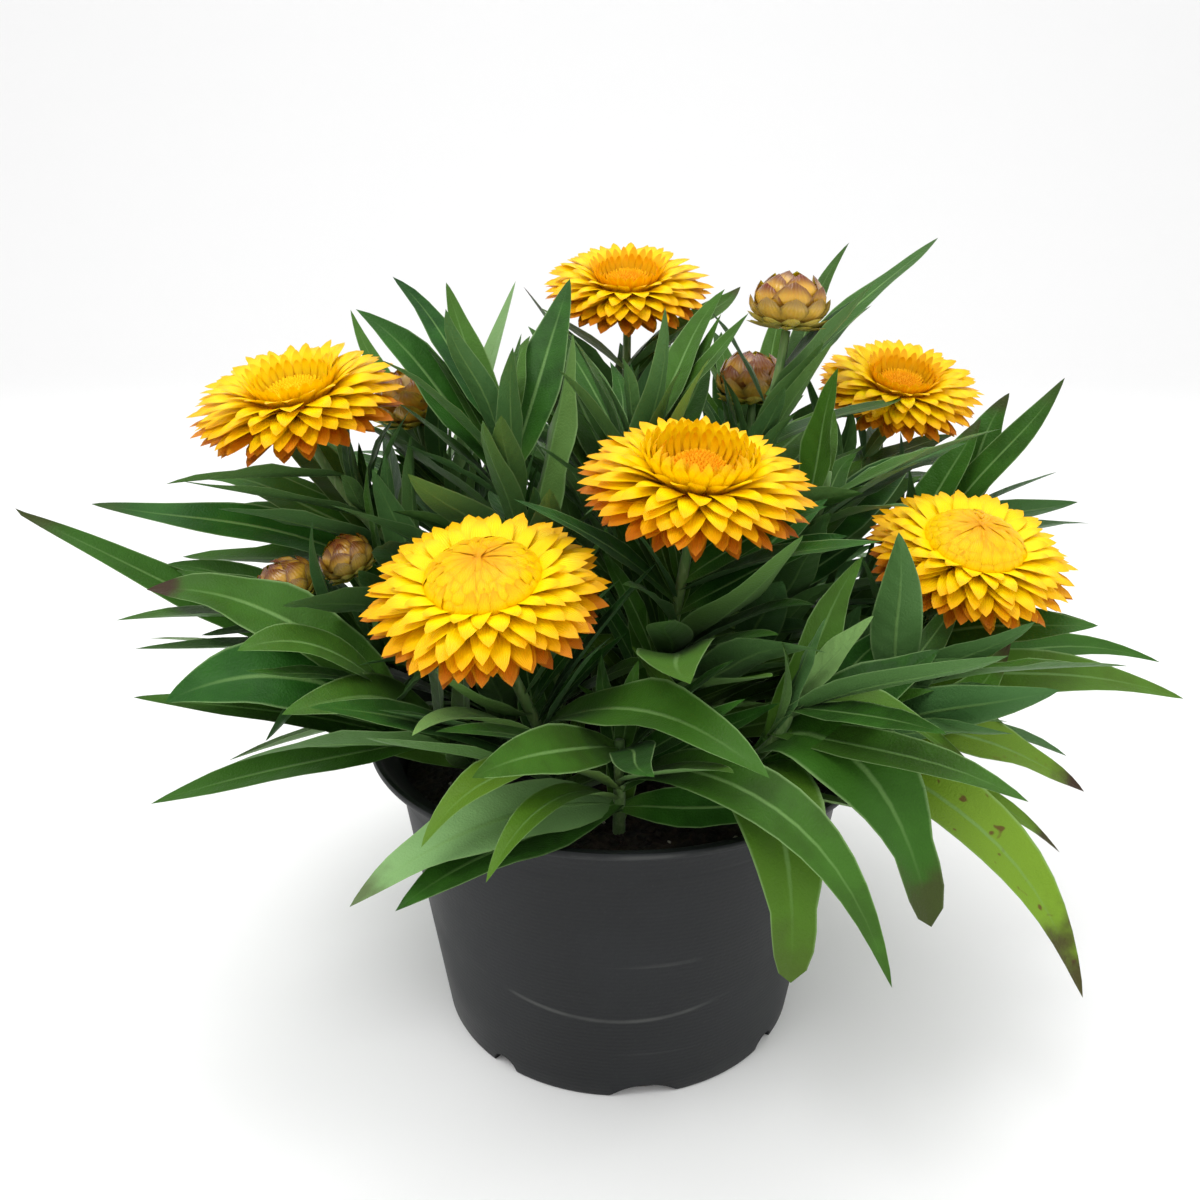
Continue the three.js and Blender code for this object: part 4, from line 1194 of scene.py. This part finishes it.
def disc_mesh(middle, placing, draw, young):
    """A low dome packed with small florets in the spirals of a sunflower's disc."""
    radius, height = DISC_SHAPES[middle]
    foot, mouth = FLORET_RADII
    bm = new_mesh()

    def rise(share):
        return mix(height, DISC_RIM, share * share)

    shares = [ring / DISC_RINGS for ring in range(DISC_RINGS, -1, -1)]
    profile = [(0, DISC_FOOT), (radius, DISC_FOOT)] + [(radius * share, rise(share)) for share in shares]
    add_body(bm, spun(profile, 32), placing, (0.2, 0, young))
    look_layer = bm.verts.layers.float_color["look"]
    for i in range(FLORET_COUNT):
        share = math.sqrt((i + 0.5) / FLORET_COUNT)
        angle = i * GOLDEN_ANGLE
        spot = point((radius * share * math.cos(angle), radius * share * math.sin(angle), rise(share)))
        lean = Vector((math.cos(angle) * share * 0.6, math.sin(angle) * share * 0.6, 1))
        tall = mix(*FLORET_HEIGHTS, share) * mix(0.8, 1.2, draw()) * MM
        made = bmesh.ops.create_cone(
            bm, cap_ends=True, segments=5, radius1=foot * MM, radius2=mouth * MM, depth=tall * 2,
            matrix=placing @ Matrix.Translation(spot) @ turn_to(lean))
        chance = draw()
        for vert in made["verts"]:
            vert[look_layer] = (share, chance, young, 1)
    return bm


for order, (*shape, _) in enumerate(HEADS):
    make_head(*shape, HEAD_SEEDS + order)


# Buds: rows of broad bracts closed over an egg, for a bud 1 mm across, but thick in real size

BUD_EGG = [
    (0, -0.5), (0.16, -0.49), (0.36, -0.4), (0.45, -0.2), (0.43, 0.0), (0.34, 0.2), (0.18, 0.31), (0, 0.34)]
BUD_BRACT_THICKNESS = 0.5
BUD_BRACT_CUP = 0.34

# How far the maroon of their tips has spread over the buds
BUD_FLUSH = {"g": 0.2, "h": 0.6, "i": 0.35, "j": 0.35, "m": 0.5}
OTHER_FLUSH = 0.1


def bud_rows(opening):
    """The rows of a bud's bracts, laid out as a head's, whose tips stand off as it opens."""
    flare = 0.14 * opening
    return [
        (11, (0.1, -0.49), (0.34, -0.48), (0.56 + flare, -0.4), 0.24, 0.0),
        (10, (0.12, -0.47), (0.42, -0.42), (0.57 + flare, -0.28), 0.3, 0.0),
        (8, (0.16, -0.42), (0.5, -0.27), (0.53 + 1.2 * flare, 0.03), 0.52, 0.7),
        (6, (0.22, -0.34), (0.51, -0.1), (0.42 + 1.4 * flare, 0.25), 0.68, 1.0),
        (5, (0.26, -0.2), (0.46, 0.06), (0.22 + 1.6 * flare, 0.37), 0.68, 1.0),
        (4, (0.26, -0.06), (0.37, 0.18), (0.04 + 1.4 * flare, 0.4), 0.6, 1.0),
    ]


def make_bud(name, at, wide, front, right, opening, seed):
    """A bud, from closed at an opening of 0 to half open at 0.7."""
    placing = placed(at, facing(front, right), wide) @ Matrix.Diagonal((1, 1, BUD_FLATTENING, 1))
    draw = seeded_draws(seed)
    bm = new_mesh()
    add_body(bm, spun(BUD_EGG, 20), placing, (0.6, 0.5, 0))
    flush = BUD_FLUSH.get(name, OTHER_FLUSH)
    for number, row in enumerate(bud_rows(opening)):
        add_bud_row(bm, row, number / 2, placing, draw, BUD_BRACT_THICKNESS / wide, flush)
    material, slot = (RED_BRACTS, "bud_red") if name == "k" else (BROWN_BRACTS, "bud_brown")
    piece("bud_" + name + "_bracts", bm, [material], "bud_" + name)


def add_bud_row(bm, row, turn, placing, draw, thick, flush):
    """One row of a bud's bracts. Their upper faces look inwards, so they cup round the egg."""
    count, foot, middle, tip, wide, tint = row
    for i in range(count):
        out = spoke((i + turn + mix(-0.1, 0.1, draw())) * 2 * math.pi / count)
        lift = mix(-0.03, 0.03, draw())
        curve = bract_curve(out, foot, middle, tip, lift, lift / 2)
        bract = Blade(*curve, UP.cross(out), wide * MM)
        bract.outline, bract.thick, bract.fold = bud_outline, thick * MM, BUD_BRACT_CUP
        bract.look = (tint, draw(), flush * tint * mix(0.5, 1.5, draw()))
        add_blade(bm, BRACT_BLADE, bract, placing)


for order, (*shape, _) in enumerate(BUDS):
    make_bud(*shape, BUD_SEEDS + order)


# The pot, spun from its profile, with scalloped drainage notches cut round its foot

def wall(height):
    """The outer radius of the pot's tapered wall at a height."""
    return BASE_RADIUS + (COLLAR_TOP_RADIUS - BASE_RADIUS) / COLLAR_TOP * height


def pot_profile():
    """Up the outside, from the middle of the base to the lip, and down the inside to the floor."""
    return [
        (0, 0),
        (BASE_RADIUS - BASE_ROUNDING, 0),
        (wall(0.3) - 0.3, 0.35),
        (wall(BASE_ROUNDING), BASE_ROUNDING),
        (wall(NOTCH_HEIGHT + 2), NOTCH_HEIGHT + 2),
        (wall(COLLAR_FOOT - 0.1), COLLAR_FOOT - 0.1),
        (wall(COLLAR_FOOT) + COLLAR_STEP * 0.9, COLLAR_FOOT + 0.1),
        (wall(COLLAR_FOOT) + COLLAR_STEP, COLLAR_FOOT + COLLAR_STEP),
        (COLLAR_TOP_RADIUS, COLLAR_TOP - 0.8),
        (COLLAR_TOP_RADIUS + 0.5, COLLAR_TOP),
        (mix(COLLAR_TOP_RADIUS, LIP_RADIUS, 0.42), COLLAR_TOP + 1.5),
        (LIP_RADIUS - LIP_ROUNDING, POT_HEIGHT - LIP_HEIGHT),
        (LIP_RADIUS - 0.35, POT_HEIGHT - LIP_HEIGHT + 0.25),
        (LIP_RADIUS, POT_HEIGHT - LIP_HEIGHT + 0.9),
        (LIP_RADIUS, POT_HEIGHT - 1.0),
        (LIP_RADIUS - 0.4, POT_HEIGHT - 0.3),
        (LIP_RADIUS - LIP_ROUNDING, POT_HEIGHT),
        (LIP_RADIUS - LIP_WIDTH + 0.6, POT_HEIGHT - 0.25),
        (LIP_RADIUS - LIP_WIDTH, POT_HEIGHT - 0.9),
        (COLLAR_TOP_RADIUS - POT_WALL + 0.6, COLLAR_TOP + 1.0),
        (COLLAR_TOP_RADIUS - POT_WALL, COLLAR_TOP),
        (wall(FLOOR) - POT_WALL, FLOOR),
        (0, FLOOR),
    ]


def notch_cutters():
    """Flat drums that stand round the pot's foot and cut its arched notches, wide and narrow."""
    bm = bmesh.new()
    for i in range(NOTCH_COUNT):
        width = WIDE_NOTCH if i % 2 == 0 else NARROW_NOTCH
        arc = (width * width / 4 + NOTCH_HEIGHT * NOTCH_HEIGHT) / (2 * NOTCH_HEIGHT)
        out = Matrix.Translation(point((0, -(BASE_RADIUS + 1), NOTCH_HEIGHT - arc)))
        turn = Matrix.Rotation(math.radians(NOTCH_TURN + i * 360 / NOTCH_COUNT), 4, "Z")
        lay = Matrix.Rotation(math.pi / 2, 4, "X")
        bmesh.ops.create_cone(bm, cap_ends=True, segments=64, radius1=arc * MM, radius2=arc * MM,
                              depth=NOTCH_DEPTH * MM, matrix=turn @ out @ lay)
    return set_down("notch cutters", finished("notch cutters", bm))


def make_pot():
    bm = bmesh.new()
    bm.from_mesh(spun(pot_profile(), POT_STEPS))
    for edge in bm.edges:
        edge.smooth = edge.calc_face_angle(0) < SHARP_EDGE
    pot = piece("nursery_pot", bm, [POT_PLASTIC], "pot")
    cutter = notch_cutters()
    cut = pot.modifiers.new("notches", "BOOLEAN")
    cut.object, cut.operation, cut.solver = cutter, "DIFFERENCE", "EXACT"
    view = bpy.context.evaluated_depsgraph_get()
    carved = bpy.data.meshes.new_from_object(pot.evaluated_get(view))
    pot.modifiers.clear()
    pot.data = carved
    bpy.data.objects.remove(cutter)


make_pot()


# The soil: a bed of peat, uneven on top, with crumbs and pale grains lying on it

def soil_height(x, y):
    """The height of the peat's surface in millimetres: crowned, with clods of a few millimetres."""
    reach = math.hypot(x, y)
    crown = SOIL_CROWN * 0.8 * max(0, 1 - (reach / CROWN_RADIUS) ** 2)
    spot = Vector((x, y, 0))
    clods = sum(noise.noise(spot / size) * height for size, height in ((9, 1.4), (3.5, 0.9), (1.6, 0.4)))
    return SOIL_TOP - 0.6 + crown + clods


def make_soil():
    """The bed of peat, a hair clear of the pot, with its crumbs and grains."""
    floor = wall(FLOOR) - POT_WALL - GAP
    top = wall(SOIL_TOP) - POT_WALL - GAP
    profile = [(0, FLOOR + GAP), (floor - GAP, FLOOR + GAP), (top - GAP, SOIL_TOP - 3)]
    profile += [((top - GAP) * (SOIL_RINGS - i) / SOIL_RINGS, SOIL_TOP) for i in range(SOIL_RINGS + 1)]
    bm = bmesh.new()
    bm.from_mesh(spun(profile, SOIL_STEPS))
    for vert in bm.verts:
        if vert.co.z > (SOIL_TOP - 1) * MM:
            vert.co.z = soil_height(vert.co.x / MM, vert.co.y / MM) * MM
    draw = seeded_draws(PEAT_SEED)
    for i in range(CRUMBS + GRAINS):
        is_grain = i >= CRUMBS
        reach = (top - 4) * math.sqrt(draw())
        angle = 2 * math.pi * draw()
        size = mix(0.5, 1.1, draw()) if is_grain else mix(0.7, 2.6, draw() ** 2)
        x, y = reach * math.cos(angle), reach * math.sin(angle)
        spot = Matrix.Translation(point((x, y, soil_height(x, y) + size * 0.3)))
        turn = Matrix.Rotation(6.28 * draw(), 4, Vector((draw() - 0.5, draw() - 0.5, draw() - 0.5)))
        squash = Matrix.Diagonal((size * MM, size * mix(0.5, 0.9, draw()) * MM, size * 0.6 * MM, 1))
        made = bmesh.ops.create_icosphere(bm, subdivisions=1, radius=1, matrix=spot @ turn @ squash)
        for face in {face for vert in made["verts"] for face in vert.link_faces}:
            face.material_index = 1 if is_grain else 0
    piece("peat_bed", bm, [PEAT, PERLITE], "soil")


make_soil()


# The stage: a pale floor that sweeps up behind, soft light, and the camera

def make_sweep():
    """A floor that curves up into a back wall, so that no horizon shows."""
    depth, bend, height, half = 1.6, 0.8, 3.0, 4.0
    bm = bmesh.new()
    line = [(-half, 0.0), (depth, 0.0)]
    line += [(depth + bend * math.sin(a), bend - bend * math.cos(a))
             for a in np.radians(np.arange(10, 91, 10))]
    line.append((depth + bend, height))
    verts = [bm.verts.new((-half, y, z)) for y, z in line]
    edges = [bm.edges.new(pair) for pair in zip(verts, verts[1:])]
    made = bmesh.ops.extrude_edge_only(bm, edges=edges)["geom"]
    moved = [item for item in made if isinstance(item, bmesh.types.BMVert)]
    bmesh.ops.translate(bm, verts=moved, vec=(2 * half, 0, 0))
    bmesh.ops.recalc_face_normals(bm, faces=bm.faces)
    if sum(face.normal.z for face in bm.faces) < 0:
        bmesh.ops.reverse_faces(bm, faces=bm.faces)
    mesh = finished("studio sweep", bm)
    mesh.polygons.foreach_set("use_smooth", [True] * len(mesh.polygons))
    mesh.materials.append(surface("matt white card", card_white))
    sweep = set_down("studio_sweep", mesh)


# The lamps: name, place, diameter in metres and power in watts, round a nearly white sky
LAMPS = [
    ("key", (-0.6, -0.7, 1.6), 0.8, 10),
    ("fill", (0.9, -0.7, 1.1), 1.2, 3),
    ("top", (0.1, 0.3, 1.7), 1.0, 8),
]
SKY_STRENGTH = 0.95


def add_lamp(name, at, size, power):
    """A round soft lamp that points at the plant."""
    light = bpy.data.lights.new(name, "AREA")
    light.shape = "DISK"
    light.size, light.energy = size, power
    lamp = set_down(name, light)
    lamp.location = at
    aim = Vector((0, 0, 0.15)) - Vector(at)
    lamp.rotation_euler = aim.to_track_quat("-Z", "Y").to_euler()


def set_up_studio():
    make_sweep()
    scene = bpy.context.scene
    scene.view_settings.view_transform = "Standard"
    scene.view_settings.look = "None"
    world = bpy.data.worlds.new("studio")
    world.use_nodes = True
    sky = world.node_tree.nodes["Background"]
    sky.inputs[0].default_value = srgb("#ffffff")
    sky.inputs[1].default_value = SKY_STRENGTH
    scene.world = world
    for lamp in LAMPS:
        add_lamp(*lamp)


def set_up_camera():
    camera = bpy.data.cameras.new("camera")
    camera.lens, camera.sensor_width = LENS, SENSOR
    camera.clip_start = 0.01
    holder = set_down("camera", camera)
    holder.location = CAMERA_AT
    holder.rotation_euler = (math.radians(90 - CAMERA_DOWN), 0, math.radians(CAMERA_LEFT))
    bpy.context.scene.camera = holder


set_up_studio()
set_up_camera()
